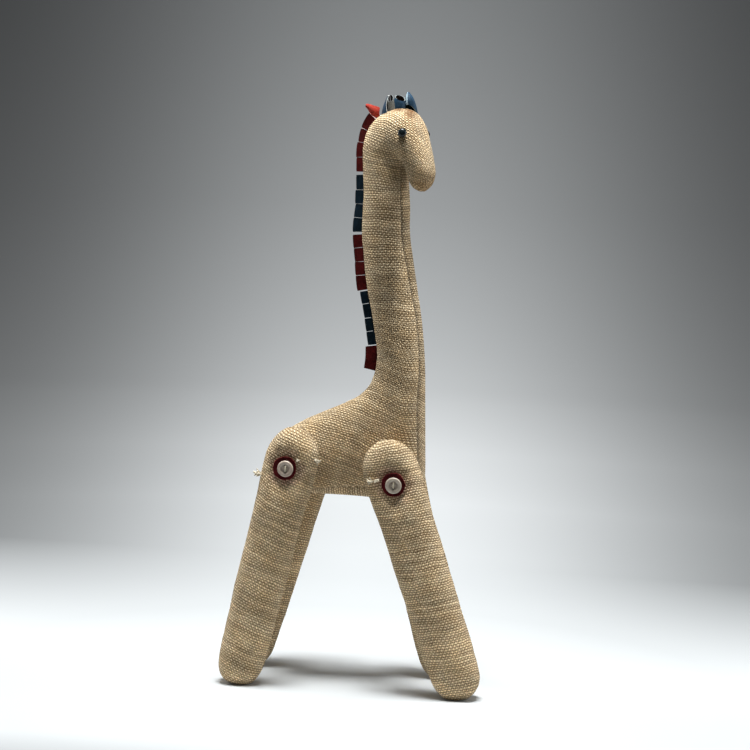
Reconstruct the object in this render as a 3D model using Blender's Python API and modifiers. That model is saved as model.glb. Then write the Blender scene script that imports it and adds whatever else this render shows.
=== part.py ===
"""Stuffed jute giraffe, about 0.66 m tall, with four legs that turn on button joints.

Metres, +Z up.  The giraffe faces +X, its right side is -Y, and the floor is Z = 0.
The body is a soft loft through stations: each station is a cross-section that runs from
a point on the back to a point on the underside, with a half width to either side.
"""

import math

import bmesh
import bpy
from mathutils import Matrix, Vector

# ---- driving dimensions ----------------------------------------------------------------
SKIN = 0.0014  # coarse jute cloth
SEAM = 0.0010  # gap between two cloth edges at a seam
FIT = 0.0003  # gap between pieces that touch
STUFFING_INSET = 0.0030  # from the outside of the cloth to the stuffing
SECTION_POWER = 2.3  # above 2 a cross-section is fuller than an ellipse

HEAD_TURN = math.radians(23)  # the head looks a little to its right
TURN_BOTTOM, TURN_TOP = 0.36, 0.62  # heights between which the neck twists
NECK_AXIS_X = 0.0201

HIP_Y = 0.0525  # middle of a leg, from the middle of the body
LEG_THICKNESS = 0.0505  # across, when pressed against the body
SOLE_PRESS = 0.0025  # how far a round foot is pressed flat
LEG_SEGMENTS = 16

CORD_RADIUS = 0.0010
CORD_OFFSET = 0.0026  # each strand from the joint's axis
BORE_RADIUS = 0.0041  # hole for both strands
WASHER_RADIUS, WASHER_THICKNESS = 0.0125, 0.0016
BUTTON_RADIUS, BUTTON_THICKNESS, BUTTON_DISH = 0.0090, 0.0032, 0.0020

LEATHER = 0.0011  # thickness of the ears, the horns and the forelock
MANE_THICKNESS = 0.0012
MANE_ROOT, MANE_SLIT, MANE_HEIGHT = 0.0006, 0.0022, 0.0135  # above the back seam
EYE_RADIUS, EYE_DEPTH = 0.0042, 0.0030
THREAD_END_LENGTH, THREAD_END_RADIUS = 0.0065, 0.0011
THREAD_END_BEHIND_HIP = 0.0190

# back x, back z, underside x, underside z, half width, half width of the belly gusset
BODY_STATIONS = (
    (-0.1004, 0.2505, -0.1004, 0.2385, 0.0060, 0.0),
    (-0.0979, 0.2630, -0.0979, 0.2265, 0.0135, 0.0),
    (-0.0894, 0.2740, -0.0894, 0.2165, 0.0205, 0.0),
    (-0.0744, 0.2855, -0.0764, 0.2110, 0.0250, 0.008),
    (-0.0519, 0.2975, -0.0534, 0.2090, 0.0258, 0.014),
    (-0.0284, 0.3085, -0.0274, 0.2090, 0.0258, 0.017),
    (-0.0064, 0.3205, 0.0036, 0.2085, 0.0258, 0.018),
    (0.0061, 0.3320, 0.0366, 0.2070, 0.0258, 0.018),
    (0.0109, 0.3420, 0.0626, 0.2100, 0.0256, 0.018),
    (0.0136, 0.3520, 0.0746, 0.2270, 0.0256, 0.018),
    (0.0148, 0.3630, 0.0734, 0.2700, 0.0256, 0.018),
    (0.0144, 0.3760, 0.0716, 0.3100, 0.0256, 0.018),
    (0.0121, 0.3890, 0.0698, 0.3500, 0.0260, 0.015),
    (0.0071, 0.4155, 0.0646, 0.4010, 0.0262, 0.013),
    (0.0011, 0.4420, 0.0578, 0.4380, 0.0262, 0.013),
    (-0.0034, 0.4730, 0.0511, 0.4730, 0.0260, 0.013),
    (-0.0072, 0.5040, 0.0458, 0.5040, 0.0258, 0.012),
    (-0.0066, 0.5400, 0.0436, 0.5370, 0.0258, 0.011),
    (-0.0079, 0.5700, 0.0411, 0.5590, 0.0262, 0.009),
    (-0.0089, 0.5970, 0.0391, 0.5755, 0.0272, 0.006),
    (-0.0044, 0.6165, 0.0406, 0.5815, 0.0280, 0.0),
    (0.0096, 0.6330, 0.0431, 0.5825, 0.0282, 0.0),
    (0.0281, 0.6405, 0.0456, 0.5795, 0.0280, 0.0),
    (0.0461, 0.6385, 0.0466, 0.5750, 0.0268, 0.0),
    (0.0581, 0.6250, 0.0471, 0.5695, 0.0245, 0.0),
    (0.0650, 0.6080, 0.0478, 0.5640, 0.0215, 0.0),
    (0.0708, 0.5905, 0.0491, 0.5590, 0.0190, 0.0),
    (0.0746, 0.5725, 0.0526, 0.5535, 0.0160, 0.0),
    (0.0734, 0.5620, 0.0611, 0.5500, 0.0090, 0.0),
)
HALF_SEGMENTS = 9  # faces round half of the body
GUSSET_SEGMENTS = 4
GUSSET_POINT = 0.25  # how far a gusset's pointed end reaches towards the next station

# name, side, hip x, hip z, lean of the leg (+ forward), its top above the hip, width scale
LEGS = (
    ("front_right", -1, 0.0471, 0.2345, math.radians(20.0), 0.0460, 1.00),
    ("front_left", 1, 0.0364, 0.2345, math.radians(15.7), 0.0440, 0.93),
    ("hind_right", -1, -0.0684, 0.2455, math.radians(-12.0), 0.0420, 0.95),
    ("hind_left", 1, -0.0639, 0.2455, math.radians(-15.2), 0.0400, 0.98),
)
# half width of a leg from its round top to its foot, and its share of the full thickness
LEG_PROFILE = (
    (0.00, 0.0090, 0.35),
    (0.01, 0.0160, 0.58),
    (0.03, 0.0220, 0.76),
    (0.06, 0.0275, 0.89),
    (0.10, 0.0310, 0.93),
    (0.155, 0.0322, 0.92),
    (0.21, 0.0315, 0.93),
    (0.29, 0.0300, 1.00),
    (0.44, 0.0296, 1.00),
    (0.60, 0.0294, 1.00),
    (0.76, 0.0288, 1.00),
    (0.87, 0.0282, 0.98),
    (0.935, 0.0262, 0.93),
    (0.97, 0.0215, 0.78),
    (0.99, 0.0150, 0.56),
    (1.00, 0.0080, 0.30),
)

# name, red or not, height where it starts and ends on the back seam, tabs, height scale
MANE_STRIPS = (
    ("mane_strip_1", True, 0.6225, 0.5705, 4, 1.0),
    ("mane_strip_2", False, 0.5655, 0.5030, 4, 1.0),
    ("mane_strip_3", True, 0.4995, 0.4400, 4, 1.0),
    ("mane_strip_4", False, 0.4385, 0.3795, 4, 0.72),
    ("mane_strip_5", True, 0.3780, 0.3510, 1, 0.95),
)
TAB_GAP = 0.0008

JUTE = (0.43, 0.33, 0.22)
STUFFING = (0.62, 0.55, 0.42)
TWINE = (0.62, 0.54, 0.38)
RED_LEATHER = (0.16, 0.012, 0.014)
BLUE_LEATHER = (0.012, 0.045, 0.085)
WASHER_LEATHER = (0.075, 0.010, 0.012)
BUTTON = (0.27, 0.22, 0.20)
BEAD = (0.010, 0.022, 0.024)


# ---- scene helpers ---------------------------------------------------------------------
def clear_scene():
    for old in list(bpy.data.objects):
        bpy.data.objects.remove(old)


def new_collection(name):
    collection = bpy.data.collections.new(name)
    bpy.context.scene.collection.children.link(collection)
    return collection


def material(name, colour, roughness, metallic=0.0):
    made = bpy.data.materials.get(name)
    if made is None:
        made = bpy.data.materials.new(name)
        made.use_nodes = True
        shader = made.node_tree.nodes["Principled BSDF"]
        shader.inputs["Base Color"].default_value = (*colour, 1.0)
        shader.inputs["Roughness"].default_value = roughness
        shader.inputs["Metallic"].default_value = metallic
        made.diffuse_color = (*colour, 1.0)
    return made


def add_mesh(name, points, faces, looks, smooth=True):
    mesh = bpy.data.meshes.new(name)
    mesh.from_pydata([tuple(p) for p in points], [], faces)
    mesh.validate()
    if smooth:
        mesh.shade_smooth()
        mesh.set_sharp_from_angle(angle=math.radians(50))
    made = bpy.data.objects.new(name, mesh)
    made.data.materials.append(looks)
    toy.objects.link(made)
    return made


def solidify(thing, thickness):
    shell = thing.modifiers.new("cloth thickness", "SOLIDIFY")
    shell.thickness = thickness
    shell.offset = -1.0


def inset(thing, distance):
    inner = thing.modifiers.new("inset", "DISPLACE")
    inner.strength = -distance
    inner.mid_level = 0.0


def cut(thing, cutter):
    hole = thing.modifiers.new("hole", "BOOLEAN")
    hole.operation = "DIFFERENCE"
    hole.object = cutter


def take_new_object(name, collection):
    """Names the primitive that was just added and moves it to a collection."""
    made = bpy.context.object
    made.name = name
    for home in list(made.users_collection):
        home.objects.unlink(made)
    collection.objects.link(made)
    if collection == cutters:
        made.hide_render = True
        made.display_type = "WIRE"
    return made


def add_cutter(name, radius, length, centre, slant=0.0):
    """A round hole along Y, or slanted from Y by an angle about Z."""
    bpy.ops.mesh.primitive_cylinder_add(vertices=16, radius=radius, depth=length,
                                        location=centre, rotation=(math.pi / 2, 0, slant))
    return take_new_object(name, cutters)


# ---- the body's shape ------------------------------------------------------------------
def station_at(place):
    """The station values at a place between whole stations, along a smooth curve."""
    last = len(BODY_STATIONS) - 1
    i = min(int(place), last - 1)
    f = place - i
    a, b = BODY_STATIONS[max(i - 1, 0)], BODY_STATIONS[i]
    c, d = BODY_STATIONS[i + 1], BODY_STATIONS[min(i + 2, last)]
    return [0.5 * (2 * q + (r - p) * f + (2 * p - 5 * q + 4 * r - s) * f * f
                   + (3 * q - p - 3 * r + s) * f ** 3) for p, q, r, s in zip(a, b, c, d)]


def turn_head(point):
    """Twists what lies above the throat towards the giraffe's right."""
    x, y, z = point
    f = min(max((z - TURN_BOTTOM) / (TURN_TOP - TURN_BOTTOM), 0.0), 1.0)
    angle = -HEAD_TURN * f * f * (3 - 2 * f)
    x -= NECK_AXIS_X
    return Vector((NECK_AXIS_X + x * math.cos(angle) - y * math.sin(angle),
                   x * math.sin(angle) + y * math.cos(angle), z))


def section_point(station, angle, side, shift=0.0, turned=True):
    """A point round a station: angle 0 is on the back and pi on the underside."""
    back_x, back_z, under_x, under_z, half_width = station[:5]
    power = 2 / SECTION_POWER
    along = math.copysign(abs(math.cos(angle)) ** power, math.cos(angle))
    across = abs(math.sin(angle)) ** power if 0 < angle < math.pi else 0.0
    x = (back_x + under_x) / 2 + (back_x - under_x) / 2 * along
    z = (back_z + under_z) / 2 + (back_z - under_z) / 2 * along
    point = (x, side * (shift + half_width * across), z)
    return turn_head(point) if turned else Vector(point)


def gusset_angle(station, width):
    """The angle at which a section is width from the middle plane, on the underside."""
    share = min(width / station[4], 1.0)
    return math.pi - math.asin(share ** (SECTION_POWER / 2))


def grid_faces(rows, columns, flip=False):
    faces = []
    for i in range(rows - 1):
        for j in range(columns - 1):
            a = i * columns + j
            face = (a, a + 1, a + columns + 1, a + columns)
            faces.append(face[::-1] if flip else face)
    return faces


def side_panel(name, side):
    """Half of the body's cloth, from the back seam to the gusset, closed at both ends."""
    points = []
    for station in BODY_STATIONS:
        last_angle = gusset_angle(station, station[5])
        points += [section_point(station, last_angle * j / HALF_SEGMENTS, side, SEAM / 2)
                   for j in range(HALF_SEGMENTS + 1)]
    columns = HALF_SEGMENTS + 1
    faces = grid_faces(len(BODY_STATIONS), columns, flip=side > 0)
    rump = tuple(range(columns))
    nose = tuple(range(len(points) - columns, len(points)))
    faces.append(rump if side > 0 else rump[::-1])
    faces.append(nose[::-1] if side > 0 else nose)
    panel = add_mesh(name, points, faces, material("jute cloth", JUTE, 0.95))
    solidify(panel, SKIN)
    return panel


def gusset():
    """The strip under the belly and up the front of the neck, pointed at both ends."""
    first = min(i for i, s in enumerate(BODY_STATIONS) if s[5] > 0)
    last = max(i for i, s in enumerate(BODY_STATIONS) if s[5] > 0)
    points = []
    for station in BODY_STATIONS[first:last + 1]:
        edge = gusset_angle(station, station[5] - SEAM)
        for j in range(GUSSET_SEGMENTS + 1):
            share = 2 * j / GUSSET_SEGMENTS - 1
            angle = math.pi - abs(share) * (math.pi - edge)
            points.append(section_point(station, angle, math.copysign(1, share)))
    columns = GUSSET_SEGMENTS + 1
    faces = grid_faces(last - first + 1, columns)
    for place, row in ((first - GUSSET_POINT, 0), (last + GUSSET_POINT, last - first)):
        tip = len(points)
        points.append(section_point(station_at(place), math.pi, 1))
        for j in range(columns - 1):
            a = row * columns + j
            faces.append((a, tip, a + 1) if row == 0 else (a, a + 1, tip))
    strip = add_mesh("belly_gusset", points, faces, material("jute cloth", JUTE, 0.95))
    solidify(strip, SKIN)
    return strip


def body_stuffing():
    columns = 2 * HALF_SEGMENTS
    points = []
    for station in BODY_STATIONS:
        for j in range(columns):
            angle = math.pi * j / HALF_SEGMENTS
            side = 1 if angle <= math.pi else -1
            points.append(section_point(station, min(angle, 2 * math.pi - angle), side))
    faces = []
    for i in range(len(BODY_STATIONS) - 1):
        for j in range(columns):
            a, b = i * columns + j, i * columns + (j + 1) % columns
            faces.append((b, a, a + columns, b + columns))
    faces.append(tuple(range(columns)))
    faces.append(tuple(range(len(points) - columns, len(points)))[::-1])
    filling = add_mesh("body_stuffing", points, faces, material("stuffing", STUFFING, 1.0))
    inset(filling, STUFFING_INSET)
    return filling


# ---- legs ------------------------------------------------------------------------------
def leg_length(hip_z, lean, above):
    """From the top of the leg to its foot, so that the sole is pressed by SOLE_PRESS."""
    foot_radius = LEG_PROFILE[-4][1]
    drop = (hip_z - foot_radius + SOLE_PRESS) / math.cos(lean)
    return above + drop + foot_radius


def leg_point(row, angle, leg, shift=0.0):
    """A point on a leg, from its hip: angle 0 is the front edge, pi the back edge."""
    _, _, hip_x, hip_z, lean, above, scale = leg
    share, half_width, fullness = row
    power = 2 / SECTION_POWER
    c, s = math.cos(angle), math.sin(angle)
    x = half_width * scale * math.copysign(abs(c) ** power, c)
    y = LEG_THICKNESS / 2 * fullness * math.copysign(abs(s) ** power, s)
    y += math.copysign(shift, s)
    z = above - share * leg_length(hip_z, lean, above)
    turned = Matrix.Rotation(-lean, 3, "Y") @ Vector((x, y, z))
    turned.z = max(turned.z, -hip_z)
    return turned


def leg_panel(name, outward, leg):
    """Half of a leg's cloth, on the side of the leg that outward (+1 or -1) names."""
    half = LEG_SEGMENTS // 2
    points = []
    for row in LEG_PROFILE:
        for j in range(half + 1):
            angle = outward * min(max(math.pi * j / half, 1e-6), math.pi - 1e-6)
            points.append(leg_point(row, angle, leg, SEAM / 2))
    columns = half + 1
    faces = grid_faces(len(LEG_PROFILE), columns, flip=outward > 0)
    top = tuple(range(columns))
    sole = tuple(range(len(points) - columns, len(points)))
    faces.append(top if outward > 0 else top[::-1])
    faces.append(sole[::-1] if outward > 0 else sole)
    panel = add_mesh(name, points, faces, material("jute cloth", JUTE, 0.95))
    solidify(panel, SKIN)
    return panel


def leg_stuffing(name, leg):
    points = []
    for row in LEG_PROFILE:
        points += [leg_point(row, 2 * math.pi * j / LEG_SEGMENTS, leg)
                   for j in range(LEG_SEGMENTS)]
    faces = []
    for i in range(len(LEG_PROFILE) - 1):
        for j in range(LEG_SEGMENTS):
            a, b = i * LEG_SEGMENTS + j, i * LEG_SEGMENTS + (j + 1) % LEG_SEGMENTS
            faces.append((a, a + LEG_SEGMENTS, b + LEG_SEGMENTS, b))
    faces.append(tuple(range(LEG_SEGMENTS)))
    faces.append(tuple(range(len(points) - LEG_SEGMENTS, len(points)))[::-1])
    filling = add_mesh(name, points, faces, material("stuffing", STUFFING, 1.0))
    inset(filling, STUFFING_INSET)
    return filling


def turned_disc(name, profile, looks):
    """A round piece: profile gives radius and height, top to bottom, and is turned about Z."""
    mesh = bpy.data.meshes.new(name)
    edges = [(i, i + 1) for i in range(len(profile) - 1)]
    mesh.from_pydata([(r, 0, h) for r, h in profile], edges, [])
    made = bpy.data.objects.new(name, mesh)
    made.data.materials.append(looks)
    toy.objects.link(made)
    turn = made.modifiers.new("turned", "SCREW")
    turn.steps = turn.render_steps = 20
    turn.use_merge_vertices = True
    turn.merge_threshold = 0.00005
    turn.use_smooth_shade = False
    return made


def stand_on_side(thing, side, centre):
    """Turns a piece made about Z so that its top faces outward along Y."""
    thing.rotation_euler = (-side * math.pi / 2, 0, 0)
    thing.location = centre


def leg_surface():
    """Distance from the leg's middle to its outside at the hip."""
    return LEG_THICKNESS / 2 * LEG_PROFILE[5][2] + SEAM / 2


def washer(name, side, hip):
    outer, hole, top = WASHER_RADIUS, BORE_RADIUS, WASHER_THICKNESS
    profile = ((hole, top), (outer - 0.0005, top), (outer, top / 2), (outer - 0.0003, 0.0),
               (hole, 0.0), (hole, top))
    made = turned_disc(name, profile, material("washer leather", WASHER_LEATHER, 0.6))
    base = side * (HIP_Y + leg_surface() + FIT)
    stand_on_side(made, side, (hip.x, base, hip.z))
    return made


def button_base():
    return HIP_Y + leg_surface() + WASHER_THICKNESS + 2 * FIT


def button(name, side, hip, holes):
    """A sewing button with a raised rim round a shallow dish, and two holes."""
    edge, t = BUTTON_RADIUS, BUTTON_THICKNESS
    profile = ((0.0, BUTTON_DISH), (edge * 0.55, BUTTON_DISH), (edge * 0.68, t), (edge * 0.88, t),
               (edge, t * 0.55), (edge * 0.86, 0.0), (0.0, 0.0))
    made = turned_disc(name, profile, material("button", BUTTON, 0.35))
    stand_on_side(made, side, (hip.x, side * button_base(), hip.z))
    for hole in holes:
        cut(made, hole)
    return made


def joint_cord(name, right_x, left_x, z):
    """A closed loop of doubled twine through both legs, the body and both buttons."""
    inner = HIP_Y - leg_surface()
    middle = button_base() + BUTTON_DISH
    rise = CORD_RADIUS + 3 * FIT
    arc = 6
    path = []
    for side, x in ((1, left_x), (-1, right_x)):
        ends = [(x, side * inner, z + side * CORD_OFFSET)]
        for k in range(arc + 1):
            angle = math.pi / 2 - math.pi * k / arc
            ends.append((x, side * (middle + rise * math.cos(angle)),
                         z + side * CORD_OFFSET * math.sin(angle)))
        ends.append((x, side * inner, z - side * CORD_OFFSET))
        path += ends
    line = bpy.data.curves.new(name, "CURVE")
    line.dimensions = "3D"
    line.bevel_depth = CORD_RADIUS
    line.bevel_resolution = 2
    spline = line.splines.new("POLY")
    spline.points.add(len(path) - 1)
    for point, where in zip(spline.points, path):
        point.co = (*where, 1.0)
    spline.use_cyclic_u = True
    made = bpy.data.objects.new(name, line)
    line.materials.append(material("twine", TWINE, 0.9))
    toy.objects.link(made)
    return made


def thread_end(name, side, hip, lean):
    """The tied-off end of the leg's closing thread, a stub that stands out of the cloth."""
    bpy.ops.mesh.primitive_cone_add(vertices=8, radius1=THREAD_END_RADIUS,
                                    radius2=0.6 * THREAD_END_RADIUS, depth=THREAD_END_LENGTH)
    made = take_new_object(name, toy)
    made.data.materials.append(material("twine", TWINE, 0.9))
    out = Vector((-0.75, side * 0.66, 0.0)).normalized()
    made.rotation_euler = out.to_track_quat("Z", "Y").to_euler()
    foot = Matrix.Rotation(-lean, 3, "Y") @ Vector((-THREAD_END_BEHIND_HIP, 0.0, 0.0))
    foot.y = side * (leg_surface() - FIT)
    made.location = hip + foot + out * (THREAD_END_LENGTH / 2 + FIT)
    return made


def build_leg(leg):
    name, side, hip_x, hip_z, lean = leg[:5]
    hip = Vector((hip_x, side * HIP_Y, hip_z))
    bore = add_cutter(name + " bore", BORE_RADIUS, 2 * LEG_THICKNESS, hip)
    holes = [add_cutter(f"{name} strand hole {k}", CORD_RADIUS + FIT, BUTTON_THICKNESS * 4,
                        (hip_x, side * button_base(), hip_z + k * CORD_OFFSET))
             for k in (-1, 1)]
    button(name + "_button", side, hip, holes)
    joint = bpy.data.objects.new(name + "_hip", None)
    joint.location = hip
    toy.objects.link(joint)
    bpy.context.view_layer.update()
    outer = leg_panel(name + "_leg_outer_panel", side, leg)
    inner = leg_panel(name + "_leg_inner_panel", -side, leg)
    filling = leg_stuffing(name + "_leg_stuffing", leg)
    for piece in (outer, inner, filling):
        piece.location = hip
        cut(piece, bore)
    pieces = [outer, inner, filling, washer(name + "_leg_washer", side, hip),
              thread_end(name + "_leg_thread_end", side, hip, lean)]
    for piece in pieces:
        piece.parent = joint
        piece.matrix_parent_inverse = Matrix.Translation(-hip)


# ---- mane, ears, horns and eyes ----------------------------------------------------------
def place_at_height(height):
    """The place along the stations where the back of the neck is at this height."""
    low, high = 8.0, 23.0
    for _ in range(30):
        middle = (low + high) / 2
        if station_at(middle)[1] < height:
            low = middle
        else:
            high = middle
    return low


def back_edge(place, lift):
    """A point above the back seam, lift away from the cloth, and its outward direction."""
    here = station_at(place)
    before, after = station_at(max(place - 0.05, 0)), station_at(place + 0.05)
    along = Vector((after[0] - before[0], 0, after[1] - before[1])).normalized()
    outward = Vector((-along.z, 0, along.x))
    return Vector((here[0], 0, here[1])) + outward * lift


def mane_strip(name, is_red, start, end, tabs, height):
    """A leather strip that stands on the back seam, slit into tabs."""
    looks = ("red leather", RED_LEATHER) if is_red else ("blue leather", BLUE_LEATHER)
    top = MANE_HEIGHT * height
    steps = 3 if tabs > 1 else 8
    count = tabs * steps
    places = [place_at_height(start + (end - start) * i / count) for i in range(count + 1)]
    outline = [back_edge(p, MANE_ROOT) for p in places]
    comb = []
    for tab in range(tabs):
        first, last = tab * steps, (tab + 1) * steps
        row = [back_edge(p, top) for p in places[first:last + 1]]
        shrink = TAB_GAP / 2 / (row[1] - row[0]).length
        row[0] = row[0].lerp(row[1], shrink)
        row[-1] = row[-1].lerp(row[-2], shrink)
        foot = [back_edge(p, MANE_SLIT) for p in places[first:last + 1]]
        comb.append(foot[0].lerp(foot[1], shrink))
        comb += row
        comb.append(foot[-1].lerp(foot[-2], shrink))
    flat = outline[::-1] + comb
    half = MANE_THICKNESS / 2
    points = [turn_head((p.x, y, p.z)) for y in (-half, half) for p in flat]
    n = len(flat)
    faces = [tuple(range(n)), tuple(range(n, 2 * n))[::-1]]
    faces += [(i + n, (i + 1) % n + n, (i + 1) % n, i) for i in range(n)]
    add_mesh(name, points, faces, material(looks[0], looks[1], 0.5), smooth=False)


def leather_leaf(name, base, tip_direction, face_direction, length, width, fold, colour):
    """A pointed leaf of leather, folded along its middle so that it cups."""
    up = Vector(tip_direction).normalized()
    out = Vector(face_direction)
    out = (out - up * out.dot(up)).normalized()
    across = up.cross(out)
    rows, columns = 7, 5
    points = []
    for i in range(rows):
        share = i / (rows - 1)
        belly = 0.16 + 0.84 * math.sin(math.pi * (0.22 + 0.76 * share))
        half = width / 2 * belly * (1 - 0.55 * share ** 6)
        for j in range(columns):
            side = 2 * j / (columns - 1) - 1
            spread = side * half * math.cos(fold * abs(side))
            cup = half * abs(side) ** 1.5 * math.sin(fold) - 0.10 * length * share * share
            points.append(Vector(base) + up * length * share + across * spread + out * cup)
    made = add_mesh(name, [turn_head(p) for p in points], grid_faces(rows, columns),
                    material(colour[0], colour[1], 0.5))
    solidify(made, LEATHER)


def leather_roll(name, base, direction, length, radius):
    """A strip of leather rolled into a short open tube."""
    up = Vector(direction).normalized()
    side = up.orthogonal().normalized()
    front = up.cross(side)
    arc, rows = 14, 3
    gap = math.radians(24)
    points = []
    for i in range(rows):
        share = i / (rows - 1)
        for j in range(arc + 1):
            angle = gap / 2 + (2 * math.pi - gap) * j / arc
            r = radius * (1 - 0.12 * share)
            points.append(Vector(base) + up * length * share
                          + side * r * math.cos(angle) + front * r * math.sin(angle))
    made = add_mesh(name, [turn_head(p) for p in points], grid_faces(rows, arc + 1),
                    material("blue leather", BLUE_LEATHER, 0.5))
    solidify(made, LEATHER)


def bead(name, rotation, centre, grow=0.0):
    """A flattened ball, or with grow the slightly larger hollow that it sits in."""
    bpy.ops.mesh.primitive_uv_sphere_add(segments=14, ring_count=8, radius=EYE_RADIUS + grow,
                                         location=centre, rotation=rotation)
    made = take_new_object(name, cutters if grow else toy)
    for vertex in made.data.vertices:
        vertex.co.z *= (EYE_DEPTH + grow) / (EYE_RADIUS + grow)
    made.data.shade_smooth()
    return made


def bead_eye(name, place, angle, side, sunk_in):
    """A flat bead sunk to its middle in a hollow of the head's cloth and stuffing."""
    step = 0.05
    here = section_point(station_at(place), angle, side, SEAM / 2)
    ahead = section_point(station_at(place + step), angle, side, SEAM / 2)
    round_it = section_point(station_at(place), angle + step, side, SEAM / 2)
    normal = (ahead - here).cross(round_it - here).normalized() * side
    if normal.y * side < 0:
        normal.negate()
    rotation = normal.to_track_quat("Z", "Y").to_euler()
    made = bead(name, rotation, here)
    made.data.materials.append(material("bead", BEAD, 0.12))
    hollow = bead(name + " hollow", rotation, here, grow=1.5 * FIT)
    for piece in sunk_in:
        cut(piece, hollow)


# ---- the toy -----------------------------------------------------------------------------
clear_scene()
toy = new_collection("stuffed jute giraffe")
cutters = new_collection("cutters")

body_bores = []
for end, right, left in (("front", LEGS[0], LEGS[1]), ("hind", LEGS[2], LEGS[3])):
    right_hip = Vector((right[2], -HIP_Y, right[3]))
    left_hip = Vector((left[2], HIP_Y, left[3]))
    inner = HIP_Y - leg_surface()
    slant = math.atan2(left_hip.x - right_hip.x, 2 * inner)
    body_bores.append(add_cutter(f"{end} body bore", BORE_RADIUS, 3 * inner,
                                 (right_hip + left_hip) / 2, -slant))
    joint_cord(f"{end}_joint_cord", right_hip.x, left_hip.x, right_hip.z)

right_skin = side_panel("right_side_panel", -1)
left_skin = side_panel("left_side_panel", 1)
filling = body_stuffing()
for piece in (right_skin, left_skin, filling):
    for bore in body_bores:
        cut(piece, bore)
gusset()

for leg in LEGS:
    build_leg(leg)

for strip in MANE_STRIPS:
    mane_strip(*strip)
leather_leaf("mane_forelock", (0.0051, 0.0, 0.6305), (-0.87, 0.0, 0.50), (0.3, -1.0, 0.2),
             0.0205, 0.0095, 0.35, ("red leather", RED_LEATHER))
leather_leaf("right_ear", (0.0166, -0.0110, 0.6375), (0.12, -0.10, 1.0), (-0.7, -0.8, 0.0),
             0.0150, 0.0100, 0.5, ("blue leather", BLUE_LEATHER))
leather_leaf("left_ear", (0.0391, 0.0110, 0.6410), (-0.32, 0.0, 1.0), (0.7, 0.75, 0.3),
             0.0190, 0.0170, 0.5, ("blue leather", BLUE_LEATHER))
leather_roll("right_horn", (0.0226, -0.0050, 0.6400), (-0.22, 0.0, 1.0), 0.0110, 0.0032)
leather_roll("left_horn", (0.0281, 0.0030, 0.6440), (0.40, 0.0, 1.0), 0.0090, 0.0048)
bead_eye("right_eye", 23.35, math.radians(74), -1, (right_skin, filling))
bead_eye("left_eye", 23.45, math.radians(74), 1, (left_skin, filling))
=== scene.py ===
"""Looks for the stuffed jute giraffe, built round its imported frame.

Metres, +Z up.  The giraffe faces +X, its right side is -Y, and the floor is Z = 0.
"""

import math
from collections import namedtuple

import bmesh
import bpy
import numpy as np
from mathutils import Matrix, Vector, noise


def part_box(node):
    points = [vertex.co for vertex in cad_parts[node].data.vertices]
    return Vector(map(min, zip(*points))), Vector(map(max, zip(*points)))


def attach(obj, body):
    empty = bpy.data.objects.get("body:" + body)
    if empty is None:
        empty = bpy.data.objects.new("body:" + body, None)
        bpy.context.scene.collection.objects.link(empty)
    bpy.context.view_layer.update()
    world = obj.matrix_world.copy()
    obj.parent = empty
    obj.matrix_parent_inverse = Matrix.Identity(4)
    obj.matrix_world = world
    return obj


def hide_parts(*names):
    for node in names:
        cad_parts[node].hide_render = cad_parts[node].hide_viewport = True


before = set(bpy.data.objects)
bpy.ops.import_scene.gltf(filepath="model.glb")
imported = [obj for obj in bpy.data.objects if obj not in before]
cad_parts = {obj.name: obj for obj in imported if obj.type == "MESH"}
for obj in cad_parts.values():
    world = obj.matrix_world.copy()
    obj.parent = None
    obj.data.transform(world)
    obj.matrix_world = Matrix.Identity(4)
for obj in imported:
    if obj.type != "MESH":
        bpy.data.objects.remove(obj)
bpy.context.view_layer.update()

# ---- sizes shared with the frame ---------------------------------------------------------
SECTION_POWER = 2.3
HEAD_TURN = math.radians(23)
TURN_BOTTOM, TURN_TOP = 0.36, 0.62
NECK_AXIS_X = 0.0201
HIP_Y = 0.0525
LEG_THICKNESS = 0.0505
SOLE_PRESS = 0.0025
BODY_SIDE = 0.0262  # the body is no wider than this where the legs lie against it
MANE_ROOT, MANE_SLIT, MANE_HEIGHT = -0.0036, 0.0018, 0.0135

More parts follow.
